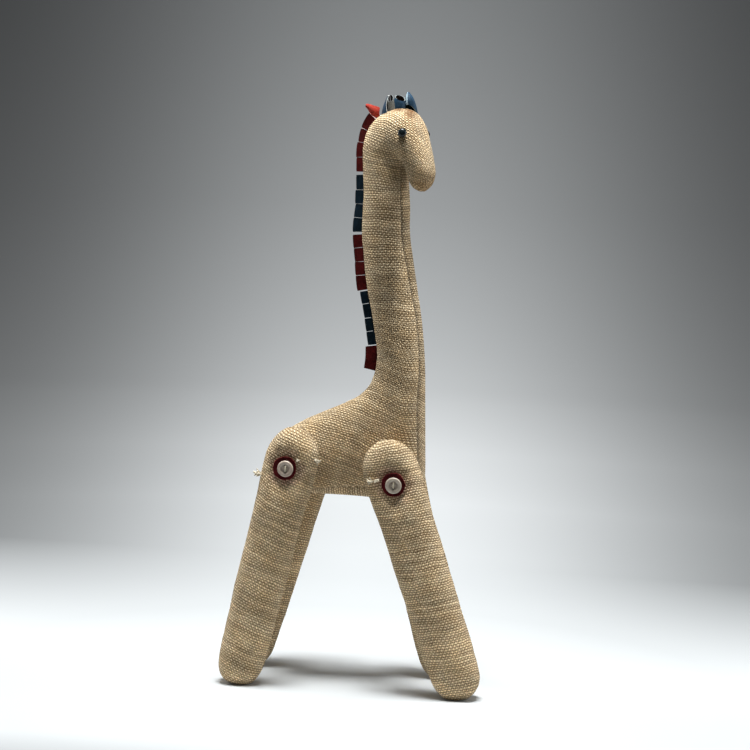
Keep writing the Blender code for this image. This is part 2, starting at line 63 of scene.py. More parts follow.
# back x, back z, underside x, underside z, half width, half width of the belly gusset
BODY_STATIONS = np.array((
    (-0.1004, 0.2505, -0.1004, 0.2385, 0.0060, 0.0),
    (-0.0979, 0.2630, -0.0979, 0.2265, 0.0135, 0.0),
    (-0.0894, 0.2740, -0.0894, 0.2165, 0.0205, 0.0),
    (-0.0744, 0.2855, -0.0764, 0.2110, 0.0250, 0.008),
    (-0.0519, 0.2975, -0.0534, 0.2090, 0.0258, 0.014),
    (-0.0284, 0.3085, -0.0274, 0.2090, 0.0258, 0.017),
    (-0.0064, 0.3205, 0.0036, 0.2085, 0.0258, 0.018),
    (0.0061, 0.3320, 0.0366, 0.2070, 0.0258, 0.018),
    (0.0109, 0.3420, 0.0626, 0.2100, 0.0256, 0.018),
    (0.0136, 0.3520, 0.0746, 0.2270, 0.0256, 0.018),
    (0.0148, 0.3630, 0.0734, 0.2700, 0.0256, 0.018),
    (0.0144, 0.3760, 0.0716, 0.3100, 0.0256, 0.018),
    (0.0121, 0.3890, 0.0698, 0.3500, 0.0260, 0.015),
    (0.0071, 0.4155, 0.0646, 0.4010, 0.0262, 0.013),
    (0.0011, 0.4420, 0.0578, 0.4380, 0.0262, 0.013),
    (-0.0034, 0.4730, 0.0511, 0.4730, 0.0260, 0.013),
    (-0.0072, 0.5040, 0.0458, 0.5040, 0.0258, 0.012),
    (-0.0066, 0.5400, 0.0436, 0.5370, 0.0258, 0.011),
    (-0.0079, 0.5700, 0.0411, 0.5590, 0.0262, 0.009),
    (-0.0089, 0.5970, 0.0391, 0.5755, 0.0272, 0.006),
    (-0.0044, 0.6165, 0.0406, 0.5815, 0.0280, 0.0),
    (0.0096, 0.6330, 0.0431, 0.5825, 0.0282, 0.0),
    (0.0281, 0.6405, 0.0456, 0.5795, 0.0280, 0.0),
    (0.0461, 0.6385, 0.0466, 0.5750, 0.0268, 0.0),
    (0.0581, 0.6250, 0.0471, 0.5695, 0.0245, 0.0),
    (0.0650, 0.6080, 0.0478, 0.5640, 0.0215, 0.0),
    (0.0708, 0.5905, 0.0491, 0.5590, 0.0190, 0.0),
    (0.0746, 0.5725, 0.0526, 0.5535, 0.0160, 0.0),
    (0.0734, 0.5620, 0.0611, 0.5500, 0.0090, 0.0),
))

# side is -1 for the right; lean is + forward; above is how far the leg's top is over its hip
Leg = namedtuple("Leg", "name side hip_x hip_z lean above width_scale weave_tilt")
LEGS = (
    Leg("front_right", -1, 0.0471, 0.2345, math.radians(20.0), 0.0460, 1.00, math.radians(-7)),
    Leg("front_left", 1, 0.0364, 0.2345, math.radians(15.7), 0.0440, 0.93, math.radians(3)),
    Leg("hind_right", -1, -0.0684, 0.2455, math.radians(-12.0), 0.0420, 0.95, math.radians(-10)),
    Leg("hind_left", 1, -0.0639, 0.2455, math.radians(-15.2), 0.0400, 0.98, math.radians(-4)),
)
# how far the washer and the button sit off the hip (x, z), and the button's (yaw, pitch)
WASHER_OFFSET = {"front_right": (0.0015, -0.0008), "front_left": (0.0008, 0.0006),
                 "hind_right": (-0.0028, -0.0009), "hind_left": (0.0010, -0.0012)}
BUTTON_OFFSET = {"front_right": (0.0022, -0.0012), "front_left": (0.0004, 0.0010),
                 "hind_right": (-0.0017, -0.0010), "hind_left": (0.0014, -0.0008)}
BUTTON_TURN = {"front_right": (math.radians(2), math.radians(4)),
               "front_left": (math.radians(-3), math.radians(3)),
               "hind_right": (math.radians(5), math.radians(2)),
               "hind_left": (math.radians(3), math.radians(-3))}
# creases across a leg: height from the hip along the leg, depth, half length round the leg
CREASES = {"front_right": ((-0.046, 0.0010, 0.9), (-0.138, 0.0009, 0.7), (-0.171, 0.0008, 0.9)),
           "front_left": ((-0.060, 0.0008, 0.8), (-0.150, 0.0008, 0.8)),
           "hind_right": ((-0.040, 0.0010, 0.8), (-0.098, 0.0007, 0.7), (-0.152, 0.0009, 0.9)),
           "hind_left": ((-0.070, 0.0008, 0.8), (-0.130, 0.0008, 0.8))}
# share of the leg's length from its top, half width, share of the full thickness
LEG_PROFILE = np.array((
    (0.00, 0.0090, 0.35),
    (0.01, 0.0160, 0.58),
    (0.03, 0.0220, 0.76),
    (0.06, 0.0275, 0.89),
    (0.10, 0.0310, 0.93),
    (0.155, 0.0322, 0.92),
    (0.21, 0.0315, 0.93),
    (0.29, 0.0300, 1.00),
    (0.44, 0.0296, 1.00),
    (0.60, 0.0294, 1.00),
    (0.76, 0.0288, 1.00),
    (0.87, 0.0282, 0.98),
    (0.935, 0.0262, 0.93),
    (0.97, 0.0215, 0.78),
    (0.99, 0.0150, 0.56),
    (1.00, 0.0080, 0.30),
))

# name, red or not, where it starts and ends up the back seam, its slits, height scale
MANE_STRIPS = (
    ("mane_strip_1", True, 0.6258, 0.5694, (0.6130, 0.6006, 0.5856), 1.0),
    ("mane_strip_2", False, 0.5662, 0.5030, (0.5494, 0.5335, 0.5180), 0.98),
    ("mane_strip_3", True, 0.5003, 0.4398, (0.4862, 0.4707, 0.4558), 0.92),
    ("mane_strip_4", False, 0.4385, 0.3795, (0.4250, 0.4092, 0.3945), 0.70),
    ("mane_strip_5", True, 0.3784, 0.3500, (), 0.95),
)

# dark patches on the head below the leathers, and a broad patch of painted shade on the forehead:
# centre, size, strength
SCALP_PATCHES = (((0.0286, -0.0150, 0.6388), 0.0062, 0.85), ((0.0415, -0.0110, 0.6372), 0.0080, 0.90),
                ((0.0425, -0.0215, 0.6330), 0.0062, 0.70), ((0.0500, -0.0160, 0.6240), 0.0170, 0.22))

# ---- sizes of the looks ------------------------------------------------------------------
WEFT_PITCH, WARP_PITCH = 0.00268, 0.00212
SEAM_DEPTH, SEAM_WIDTH = 0.0021, 0.0012
WASHER_SEAT = 0.0182  # from a leg's middle plane to the washer that is pulled into it
DIMPLE_INSIDE, DIMPLE_REACH = 0.0106, 0.0118
WASHER_RADIUS, WASHER_THICKNESS, WASHER_HOLE = 0.0131, 0.0015, 0.0030
BUTTON_RADIUS, BUTTON_THICKNESS, BUTTON_DISH, BUTTON_LIFT = 0.0090, 0.0034, 0.0017, 0.0006
CORD_OFFSET = 0.0026
STRAND_RADIUS = 0.00048
TAB_GAP = 0.0005
GRAIN_DEPTH = 0.00022  # of the leather
ROW_SPACING = 0.0036  # between the rings of points of a cloth skin
EYE_RADIUS = 0.0046
EYE_STATION, EYE_ANGLE = {-1: 23.35, 1: 23.45}, math.radians(74)
CAP_RINGS = ((0.72, 0.10), (0.42, 0.19), (0.16, 0.24))  # share of the end ring's size, rise
CAP_TIP_RISE, CAP_WEAVE_STEP = 0.25, 0.0012
CORD_PLIES, CORD_PITCH, PLY_OFFSET = 3, 0.0042, 1.15
BAR_STEPS, BAR_RISE, BAR_GAP = 12, 0.0017, 0.0002
TAB_POINTS = 8  # points down each tab of the mane
WRAP_ROWS, WRAP_COLUMNS = 18, 34

# Painted shade, and a painted highlight beside the body's seams.  They stand in for shadow and
# light that the lamps don't give, and are fitted to the photograph, so they stay when the toy is
# lit or seen another way.
NECK_SHADE, LEG_TOP_SHADE, SOLE_SHADE = 0.40, 0.20, 0.10
MUZZLE_TINT_AND_SHADE = np.array((0.27, 0.39, 0.53))
BODY_SEAM_SHADE, BODY_SEAM_LIGHT, LEG_SEAM_SHADE, WASHER_RING_SHADE = 0.54, 0.16, 0.40, 0.34
# Colours of marks seen on the cloth.  The broad patch on the forehead is painted shade.
SCALP_PATCH_COLOUR = np.array((0.80, 0.95, 1.05))
WASHER_TINT_COLOUR = np.array((0.06, 0.20, 0.10))


# ---- camera ------------------------------------------------------------------------------
def add_camera():
    """The photograph's view: almost side-on, a little from above, rolled slightly."""
    azimuth, roll = math.radians(8.0), math.radians(2.4)
    reach, height = 2.775, 0.608
    aim = Vector((0.0136, 0.0, 0.3452))
    place = Vector((aim.x + reach * math.sin(azimuth), -reach * math.cos(azimuth), height))
    forward = aim - place
    metres_per_pixel, pixels, sensor = 0.00111, 750, 36.0
    lens = sensor * forward.length / metres_per_pixel / pixels
    forward.normalize()
    right = forward.cross(Vector((0, 0, 1))).normalized()
    up = right.cross(forward)
    rolled_right = right * math.cos(roll) + up * math.sin(roll)
    rolled_up = up * math.cos(roll) - right * math.sin(roll)
    data = bpy.data.cameras.new("camera")
    data.sensor_width = sensor
    data.lens = lens
    data.clip_start, data.clip_end = 0.05, 50.0
    camera = bpy.data.objects.new("camera", data)
    matrix = Matrix((rolled_right, rolled_up, -forward)).transposed().to_4x4()
    matrix.translation = place
    camera.matrix_world = matrix
    bpy.context.scene.collection.objects.link(camera)
    bpy.context.scene.camera = camera


add_camera()


# ---- materials ---------------------------------------------------------------------------
class Shader:
    """A material's nodes, made by short calls that link what they are given."""

    def __init__(self, name):
        self.material = bpy.data.materials.new(name)
        self.material.use_nodes = True
        self.tree = self.material.node_tree
        self.surface = self.tree.nodes["Principled BSDF"]

    def node(self, kind, inputs=(), **settings):
        made = self.tree.nodes.new("ShaderNode" + kind)
        for key, value in settings.items():
            setattr(made, key, value)
        for key, value in dict(inputs).items():
            self.put(made.inputs[key], value)
        return made

    def put(self, socket, value):
        if isinstance(value, bpy.types.NodeSocket):
            self.tree.links.new(value, socket)
        elif isinstance(value, tuple) and len(value) == 3 and socket.type == "RGBA":
            socket.default_value = (*value, 1.0)
        else:
            socket.default_value = value

    def math(self, operation, a, b=0.0, c=0.0, clamp=False):
        made = self.node("Math", {0: a, 1: b, 2: c}, operation=operation)
        made.use_clamp = clamp
        return made.outputs[0]

    def vector(self, x, y, z=0.0):
        return self.node("CombineXYZ", {0: x, 1: y, 2: z}).outputs[0]

    def noise(self, where, scale, detail=2.0, roughness=0.5):
        made = self.node("TexNoise", {"Vector": where, "Scale": scale, "Detail": detail,
                                      "Roughness": roughness})
        return made.outputs[0]

    def ramp(self, factor, *stops):
        made = self.node("ValToRGB", {0: factor})
        row = made.color_ramp.elements
        while len(row) < len(stops):
            row.new(0.5)
        for element, (place, colour) in zip(row, stops):
            element.position = place
            element.color = (*colour, 1.0)
        return made.outputs[0]

    def times(self, colour, factor):
        """Multiplies one colour by another."""
        made = self.node("Mix", data_type="RGBA", blend_type="MULTIPLY")
        self.put(made.inputs[0], 1.0)
        self.put(made.inputs[6], colour)
        self.put(made.inputs[7], factor)
        return made.outputs[2]

    def spread(self, value, low, high):
        """Moves a value from 0..1 to low..high."""
        return self.math("MULTIPLY_ADD", value, high - low, low)

    def painted(self):
        """The colour factor that paint() stores on a mesh: painted shade and light, and dark marks."""
        return self.node("Attribute", attribute_name="wear").outputs[0]

    def bump(self, height, distance, strength):
        made = self.node("Bump", {"Height": height, "Distance": distance, "Strength": strength})
        return made.outputs[0]

    def place(self):
        return self.node("TexCoord").outputs["Object"]

    def finish(self, **sockets):
        """Sets inputs of the surface, and gives the material."""
        for key, value in sockets.items():
            self.put(self.surface.inputs[key.replace("_", " ")], value)
        return self.material


def jute():
    """Coarse plain weave: thick flat weft rows over thinner warp threads, with slubs."""
    s = Shader("jute cloth")
    uv = s.node("UVMap", uv_map="weave").outputs[0]
    parts = s.node("SeparateXYZ", {0: uv})
    across, along = parts.outputs[0], parts.outputs[1]
    sway = s.noise(uv, 34.0, 2.0)
    jitter = s.spread(s.noise(uv, 210.0, 1.0), -0.0008, 0.0008)
    sway_two = s.noise(s.node("VectorMath", {0: uv, 1: (3.1, 1.7, 0.0)}).outputs[0], 30.0, 2.0)
    moved_u = s.math("ADD", across, s.spread(sway_two, -0.0035, 0.0035))
    moved_u = s.math("ADD", moved_u, jitter)
    moved_v = s.math("ADD", along, s.spread(sway, -0.0030, 0.0030))
    moved_v = s.math("ADD", moved_v, jitter)
    a = s.math("DIVIDE", moved_u, WARP_PITCH)
    b = s.math("DIVIDE", moved_v, WEFT_PITCH)
    warp, weft = s.math("FLOOR", a), s.math("FLOOR", b)
    in_a, in_b = s.math("SUBTRACT", a, warp), s.math("SUBTRACT", b, weft)
    weft_on_top = s.math("FLOORED_MODULO", s.math("ADD", warp, weft), 2.0)

    def hump(place):
        up_down = s.math("MULTIPLY", place, s.math("SUBTRACT", 1.0, place))
        return s.math("MULTIPLY", up_down, 4.0)

    row_value = s.node("TexWhiteNoise", {"W": weft}, noise_dimensions="1D").outputs[0]
    column_value = s.node("TexWhiteNoise", {"W": warp}, noise_dimensions="1D").outputs[0]
    slub_place = s.vector(s.math("MULTIPLY", across, 46.0), s.math("MULTIPLY", weft, 3.7))
    slub = s.noise(slub_place, 1.0, 2.0, 0.6)
    knot_place = s.vector(s.math("MULTIPLY", warp, 2.9), s.math("MULTIPLY", along, 60.0))
    warp_slub = s.noise(knot_place, 1.0, 2.0, 0.6)
    over_a, over_b = hump(in_a), hump(in_b)
    on_top = s.spread(weft_on_top, -1.0, 1.0)
    weft_width = s.math("POWER", over_b, s.spread(slub, 1.45, 0.35))
    warp_width = s.math("POWER", over_a, s.spread(warp_slub, 1.30, 0.35))
    weft_lift = s.math("MULTIPLY_ADD", s.math("MULTIPLY", on_top, over_a), 0.36, 0.62)
    warp_lift = s.math("MULTIPLY_ADD", s.math("MULTIPLY", on_top, over_b), -0.18, 0.44)
    weft_height = s.math("MULTIPLY", weft_width, weft_lift)
    warp_height = s.math("MULTIPLY", warp_width, warp_lift)
    height = s.math("MAXIMUM", weft_height, warp_height)
    band_place = s.vector(s.math("MULTIPLY", across, 11.0), s.math("MULTIPLY", along, 58.0))
    band = s.noise(band_place, 1.0, 3.0, 0.6)
    patch = s.noise(uv, 16.0, 3.0, 0.55)
    thick = s.math("MULTIPLY", s.spread(row_value, 0.90, 1.06), s.spread(slub, 0.78, 1.22))
    height = s.math("MULTIPLY", height, thick)

    fibre_place = s.vector(s.math("MULTIPLY", across, 900.0), s.math("MULTIPLY", along, 3600.0))
    fibre = s.noise(fibre_place, 1.0, 2.0, 0.7)
    shown = s.math("ADD", height, s.spread(fibre, -0.16, 0.16), clamp=True)
    # The ramp by thread height paints shade in the gaps between threads and a highlight on the thread
    # tops.
    colour = s.ramp(shown, (0.12, (0.040, 0.022, 0.010)), (0.32, (0.205, 0.134, 0.067)),
                    (0.54, (0.590, 0.440, 0.262)), (0.86, (1.000, 0.830, 0.575)))
    tone = s.math("MULTIPLY", s.spread(band, 0.66, 1.34), s.spread(patch, 0.72, 1.28))
    tone = s.math("MULTIPLY", tone, s.spread(column_value, 0.93, 1.07))
    tone = s.math("MULTIPLY", tone, s.spread(row_value, 0.88, 1.10))
    colour = s.times(colour, s.vector(tone, tone, tone))
    warmth = s.noise(uv, 55.0, 2.0)
    tint = s.ramp(warmth, (0.30, (1.00, 1.0, 1.0)), (0.70, (1.06, 0.985, 0.88)))
    colour = s.times(colour, tint)
    colour = s.times(colour, s.painted())
    relief = s.math("ADD", height, s.spread(fibre, -0.10, 0.10))
    bump = s.bump(relief, 0.0015, 1.0)
    rough = s.spread(fibre, 0.80, 0.98)
    return s.finish(Base_Color=colour, Roughness=rough, Normal=bump,
                    Sheen_Weight=0.22, Sheen_Roughness=0.5, Sheen_Tint=(1.0, 0.90, 0.72),
                    Specular_IOR_Level=0.08)


def leather(name, dark, light, roughness=0.60, shine=0.07):
    s = Shader(name)
    where = s.place()
    cloud = s.noise(where, 90.0, 4.0, 0.6)
    streak = s.noise(s.node("VectorMath", {0: where, 1: (1.0, 4.0, 0.35)},
                            operation="MULTIPLY").outputs[0], 260.0, 3.0, 0.6)
    shade = s.math("MULTIPLY_ADD", streak, 0.45, s.math("MULTIPLY", cloud, 0.55))
    colour = s.ramp(shade, (0.32, dark), (0.68, light))
    cells = s.node("TexVoronoi", {"Vector": where, "Scale": 1500.0}).outputs["Distance"]
    fine = s.noise(where, 3200.0, 2.0)
    relief = s.math("MULTIPLY_ADD", fine, 0.5, cells)
    bump = s.bump(relief, GRAIN_DEPTH, 0.6)
    rough = s.spread(cloud, roughness - 0.10, roughness + 0.16)
    return s.finish(Base_Color=colour, Roughness=rough, Normal=bump,
                    Specular_IOR_Level=shine)


def cut_edge(name, dark, light):
    """The pale, fibrous edge of cut leather."""
    s = Shader(name)
    where = s.place()
    fibres = s.noise(where, 1800.0, 3.0, 0.7)
    colour = s.ramp(fibres, (0.35, dark), (0.62, light))
    bump = s.bump(fibres, 0.0003, 0.8)
    return s.finish(Base_Color=colour, Roughness=0.9, Normal=bump)


def twine():
    s = Shader("linen twine")
    where = s.place()
    fibres = s.noise(where, 2600.0, 3.0, 0.7)
    cloud = s.noise(where, 300.0, 2.0)
    shade = s.math("MULTIPLY_ADD", cloud, 0.4, s.math("MULTIPLY", fibres, 0.6))
    colour = s.ramp(shade, (0.30, (0.46, 0.38, 0.26)), (0.66, (0.88, 0.80, 0.63)))
    bump = s.bump(fibres, 0.0003, 0.7)
    return s.finish(Base_Color=colour, Roughness=0.88, Normal=bump,
                    Sheen_Weight=0.2, Specular_IOR_Level=0.2)


def button_surface(name, base, tint):
    """Cast resin with faint clouds and fine specks."""
    s = Shader(name)
    where = s.place()
    cloud = s.noise(where, 260.0, 4.0, 0.65)
    speck = s.noise(where, 1500.0, 2.0, 0.6)
    shade = s.math("MULTIPLY_ADD", speck, 0.3, s.math("MULTIPLY", cloud, 0.7))
    colour = s.ramp(shade, (0.34, base), (0.66, tint))
    colour = s.times(colour, s.painted())
    bump = s.bump(speck, 0.0001, 0.4)
    rough = s.spread(cloud, 0.26, 0.46)
    return s.finish(Base_Color=colour, Roughness=rough, Normal=bump,
                    Coat_Weight=0.25, Coat_Roughness=0.2)


def bead_surface():
    s = Shader("dark glass bead")
    where = s.place()
    cloud = s.noise(where, 420.0, 3.0)
    colour = s.ramp(cloud, (0.3, (0.002, 0.004, 0.005)), (0.7, (0.007, 0.014, 0.016)))
    rough = s.spread(cloud, 0.22, 0.36)
    return s.finish(Base_Color=colour, Roughness=rough, Specular_IOR_Level=0.35,
                    Coat_Weight=0.06, Coat_Roughness=0.12)


JUTE = jute()
TWINE = twine()
RED = leather("red leather", (0.030, 0.0026, 0.0026), (0.105, 0.0085, 0.0080))
# the forelock's red leather: a lighter copy, painted as lit from above
LIT_RED = leather("red leather, painted as lit", (0.260, 0.022, 0.016), (0.560, 0.070, 0.045))
BLUE = leather("blue leather", (0.0026, 0.0070, 0.0110), (0.0080, 0.0210, 0.0340))
# the blue leather on the head: a lighter copy, painted as lit from above
LIT_BLUE = leather("blue leather, painted as lit", (0.0040, 0.0150, 0.0290), (0.0220, 0.0690, 0.1250), 0.52,
                    shine=0.22)
FLESH_SIDE = leather("flesh side of the leather", (0.014, 0.008, 0.005), (0.050, 0.030, 0.020), 0.8)
# the left ear's flesh side, dark greenish: painted shade under and inside the ear
SHADED_FLESH_SIDE = leather("stained flesh side", (0.006, 0.012, 0.011), (0.022, 0.040, 0.036), 0.8)
RED_EDGE = cut_edge("cut edge of red leather", (0.30, 0.14, 0.12), (0.62, 0.46, 0.42))
BLUE_EDGE = cut_edge("cut edge of blue leather", (0.34, 0.36, 0.36), (0.70, 0.68, 0.64))
# a pale bluish cut edge; the left ear shows it in a band along its front too
BLUISH_EDGE = cut_edge("pale bluish edge of blue leather", (0.14, 0.22, 0.28), (0.42, 0.54, 0.60))
DULL_EDGE = cut_edge("rubbed edge of blue leather", (0.050, 0.075, 0.090), (0.260, 0.280, 0.270))
PALE_FLAP = cut_edge("grey split leather", (0.075, 0.085, 0.080), (0.270, 0.262, 0.225))
MAROON = leather("maroon washer leather", (0.026, 0.0028, 0.0036), (0.095, 0.0085, 0.0100), 0.6)
MAROON_EDGE = cut_edge("cut edge of maroon leather", (0.060, 0.007, 0.008), (0.400, 0.046, 0.038))
BUTTON_GREY = button_surface("grey button", (0.420, 0.345, 0.270), (0.620, 0.530, 0.430))
BUTTON_PINK = button_surface("pink-grey button", (0.460, 0.360, 0.285), (0.660, 0.545, 0.445))
BEAD = bead_surface()


# ---- mesh helpers ------------------------------------------------------------------------
def add_mesh(name, points, faces, materials, face_materials=None, sharp=math.radians(55)):
    mesh = bpy.data.meshes.new(name)
    mesh.from_pydata([tuple(map(float, p)) for p in points], [], faces)
    for looks in materials:
        mesh.materials.append(looks)
    if face_materials is not None:
        mesh.polygons.foreach_set("material_index", face_materials)
    mesh.shade_smooth()
    if sharp:
        mesh.set_sharp_from_angle(angle=sharp)
    made = bpy.data.objects.new(name, mesh)
    bpy.context.scene.collection.objects.link(made)
    return made


def point_data(mesh, what):
    """The "co" or the "normal" of every vertex."""
    values = np.empty(len(mesh.vertices) * 3, np.float32)
    mesh.vertices.foreach_get(what, values)
    return values.reshape(-1, 3).astype(float)


def set_places(mesh, co):
    mesh.vertices.foreach_set("co", co.astype(np.float32).ravel())
    mesh.update()


def lumps(co, size, seed):
    """Smooth noise, about -0.5 to 0.5, with features of the given size."""
    shift = Vector((seed * 7.3, seed * 3.1, seed * 5.7))
    return np.array([noise.noise(Vector(p) / size + shift) for p in co]) * 0.5


def smoothstep(value):
    value = np.clip(value, 0.0, 1.0)
    return value * value * (3 - 2 * value)


def bell(distance, width):
    """1 at no distance, falling away smoothly over the width."""
    return np.exp(-(distance / width) ** 2)


def distances_along(line):
    """How far each point of a line of points is from its first, along the line."""
    steps = np.linalg.norm(np.diff(line, axis=0), axis=1)
    return np.concatenate([[0.0], np.cumsum(steps)])


def at_distances(line, travelled, at):
    """Points of a finely drawn line at these distances along it."""
    return np.stack([np.interp(at, travelled, line[:, k]) for k in range(3)], axis=-1)


def curve_length(line):
    return np.linalg.norm(np.diff(line, axis=0), axis=1).sum()


def paint(made, shade):
    """Stores a colour factor for each vertex: painted shade, a painted highlight beside the seams, and
    dark marks.
    """
    layer = made.data.color_attributes.new("wear", "FLOAT_COLOR", "POINT")
    colour = np.ones((len(made.data.vertices), 4), np.float32)
    colour[:, :3] = shade if np.ndim(shade) == 2 else np.asarray(shade)[:, None]
    layer.data.foreach_set("color", colour.ravel())


def apply_modifiers(made):
    bpy.context.view_layer.update()
    evaluated = made.evaluated_get(bpy.context.evaluated_depsgraph_get())
    baked = bpy.data.meshes.new_from_object(evaluated, preserve_all_data_layers=True,
                                            depsgraph=bpy.context.evaluated_depsgraph_get())
    old = made.data
    made.modifiers.clear()
    made.data = baked
    bpy.data.meshes.remove(old)


def subdivide(made):
    rounder = made.modifiers.new("rounder", "SUBSURF")
    rounder.levels = rounder.render_levels = 1
    apply_modifiers(made)
    made.data.shade_smooth()


def tube_rings(rings, grids, name, materials):
    """A closed skin over rings of points, with a fan of shrinking rings at both ends.

    rings has shape (rows, columns, 3).  grids is a list of (first column, last column,
    weave coordinates of shape (rows, last - first + 1, 2)).
    """
    rows, columns = rings.shape[:2]
    before, after = [], []
    for ring, beyond, bucket in ((rings[0], rings[1], before), (rings[-1], rings[-2], after)):
        centre = ring.mean(axis=0)
        out = centre - beyond.mean(axis=0)
        out /= np.linalg.norm(out)
        size = np.linalg.norm(ring - centre, axis=1).mean()
        for share, rise in CAP_RINGS:
            bucket.append(centre + (ring - centre) * share + out * size * rise)
        bucket.append(centre + out * size * CAP_TIP_RISE)
    stack = [before[2], before[1], before[0], *rings, after[0], after[1], after[2]]
    points = np.concatenate([*stack, before[3][None], after[3][None]])
    faces, weave = [], []
    caps = len(CAP_RINGS)
    for i in range(len(stack) - 1):
        for first, last, grid in grids:
            for c in range(first, last):
                a, b = c % columns, (c + 1) % columns
                faces.append((i * columns + a, i * columns + b,
                              (i + 1) * columns + b, (i + 1) * columns + a))
                for row, column in ((i, c), (i, c + 1), (i + 1, c + 1), (i + 1, c)):
                    inside = min(max(row - caps, 0), rows - 1)
                    pad = (row - caps - inside) * CAP_WEAVE_STEP
                    u, v = grid[inside, column - first]
                    weave.append((u, v - pad))
    low_tip, high_tip = len(stack) * columns, len(stack) * columns + 1
    last_row = (len(stack) - 1) * columns
    for first, last, grid in grids:
        for c in range(first, last):
            a, b = c % columns, (c + 1) % columns
            faces.append((b, a, low_tip))
            faces.append((last_row + a, last_row + b, high_tip))
            for row, tip in ((0, 1), (rows - 1, 0)):
                one, two = grid[row, c - first], grid[row, c + 1 - first]
                pair = (two, one) if tip else (one, two)
                middle = ((one[0] + two[0]) / 2, (one[1] + two[1]) / 2)
                weave += [tuple(pair[0]), tuple(pair[1]), middle]
    made = add_mesh(name, points, faces, materials, sharp=None)
    layer = made.data.uv_layers.new(name="weave")
    layer.data.foreach_set("uv", np.array(weave, np.float32).ravel())
    fix_winding(made.data)
    return made


def with_caps(values):
    """A value for each point of the rings, repeated over the caps; both tips get 0."""
    caps = len(CAP_RINGS)
    low, high = np.repeat(values[:1], caps, axis=0), np.repeat(values[-1:], caps, axis=0)
    return np.append(np.concatenate([low, values, high]).ravel(), [0.0, 0.0])


def fix_winding(mesh):
    """Turns every face round if the skin faces inward."""
    shape = bmesh.new()
    shape.from_mesh(mesh)
    if shape.calc_volume(signed=True) < 0:
        bmesh.ops.reverse_faces(shape, faces=shape.faces)
    shape.to_mesh(mesh)
    shape.free()
    mesh.update()


def clean(mesh):
    shape = bmesh.new()
    shape.from_mesh(mesh)
    loose = [v for v in shape.verts if not v.link_faces]
    bmesh.ops.delete(shape, geom=loose, context="VERTS")
    shape.to_mesh(mesh)
    shape.free()


# ---- the body's shape --------------------------------------------------------------------
def station_at(place):
    last = len(BODY_STATIONS) - 1
    i = min(max(int(place), 0), last - 1)
    f = place - i
    p, q = BODY_STATIONS[max(i - 1, 0)], BODY_STATIONS[i]
    r, s = BODY_STATIONS[i + 1], BODY_STATIONS[min(i + 2, last)]
    return 0.5 * (2 * q + (r - p) * f + (2 * p - 5 * q + 4 * r - s) * f * f
                  + (3 * q - p - 3 * r + s) * f ** 3)


def turn_head(points):
    """Twists what lies above the throat towards the giraffe's right."""
    p = np.asarray(points, float)
    x, y, z = p[..., 0] - NECK_AXIS_X, p[..., 1], p[..., 2]
    angle = -HEAD_TURN * smoothstep((z - TURN_BOTTOM) / (TURN_TOP - TURN_BOTTOM))
    c, s = np.cos(angle), np.sin(angle)
    return np.stack([NECK_AXIS_X + x * c - y * s, x * s + y * c, z], axis=-1)


def section(station, angles, side):
    """Points round a station, before the head is turned: 0 is the back, pi the underside."""
    power = 2 / SECTION_POWER
    c, s = np.cos(angles), np.sin(angles)
    along = np.sign(c) * np.abs(c) ** power
    across = np.abs(s) ** power
    back, under = station[:2], station[2:4]
    x = (back[0] + under[0]) / 2 + (back[0] - under[0]) / 2 * along
    z = (back[1] + under[1]) / 2 + (back[1] - under[1]) / 2 * along
    return np.stack([x, side * station[4] * across, z], axis=-1)


def gusset_angle(station, width):
    share = min(width / station[4], 0.98)
    return math.pi - math.asin(share ** (SECTION_POWER / 2))


def even_points(curve, fractions):
    """Points of a finely drawn curve at these fractions of its length, and the length."""
    travelled = distances_along(curve)
    at = np.asarray(fractions) * travelled[-1]
    return at_distances(curve, travelled, at), travelled[-1]


def seam_fractions(count, length):
    """Fractions along a panel that crowd in beside the seams at both of its edges."""
    near = (0.0008 / length, 0.0019 / length, 0.0034 / length)
    middle = np.linspace(near[-1], 1 - near[-1], count)
    return np.array([0.0, *near, *middle, *(1 - n for n in near[::-1]), 1.0])


def body_rows(spacing):
    """Places along the stations that are about evenly spaced on the skin."""
    fine = np.linspace(0, len(BODY_STATIONS) - 1, 1400)
    lines = np.array([station_at(p) for p in fine])
    back = np.linalg.norm(np.diff(lines[:, :2], axis=0), axis=1)
    under = np.linalg.norm(np.diff(lines[:, 2:4], axis=0), axis=1)
    travelled = np.concatenate([[0.0], np.cumsum(0.5 * back + 0.5 * under)])
    count = int(travelled[-1] / spacing)
    return np.interp(np.linspace(0, travelled[-1], count + 1), travelled, fine)


def weave_tilt(x, z):
    """How far the weft rows are pulled: down towards the chest, and down along the face."""
    lean = math.tan(math.radians(19))
    forward = np.clip(0.055 - x, 0.0, None)
    on_trunk = -lean * forward * smoothstep((0.43 - z) / 0.10)
    past_cheek = np.clip(x - 0.022, 0.0, None)
    on_head = (0.24 * (x - 0.010) + 5.0 * past_cheek ** 2) * smoothstep((z - 0.535) / 0.05)
    return on_trunk + on_head


def weave_swing(z):
    """How far the warp leans, to stay about square to the pulled weft rows."""
    on_trunk = math.tan(math.radians(19)) * (np.clip(z, None, 0.38) - 0.25)
    return on_trunk + 0.30 * np.clip(z - 0.555, 0.0, None)


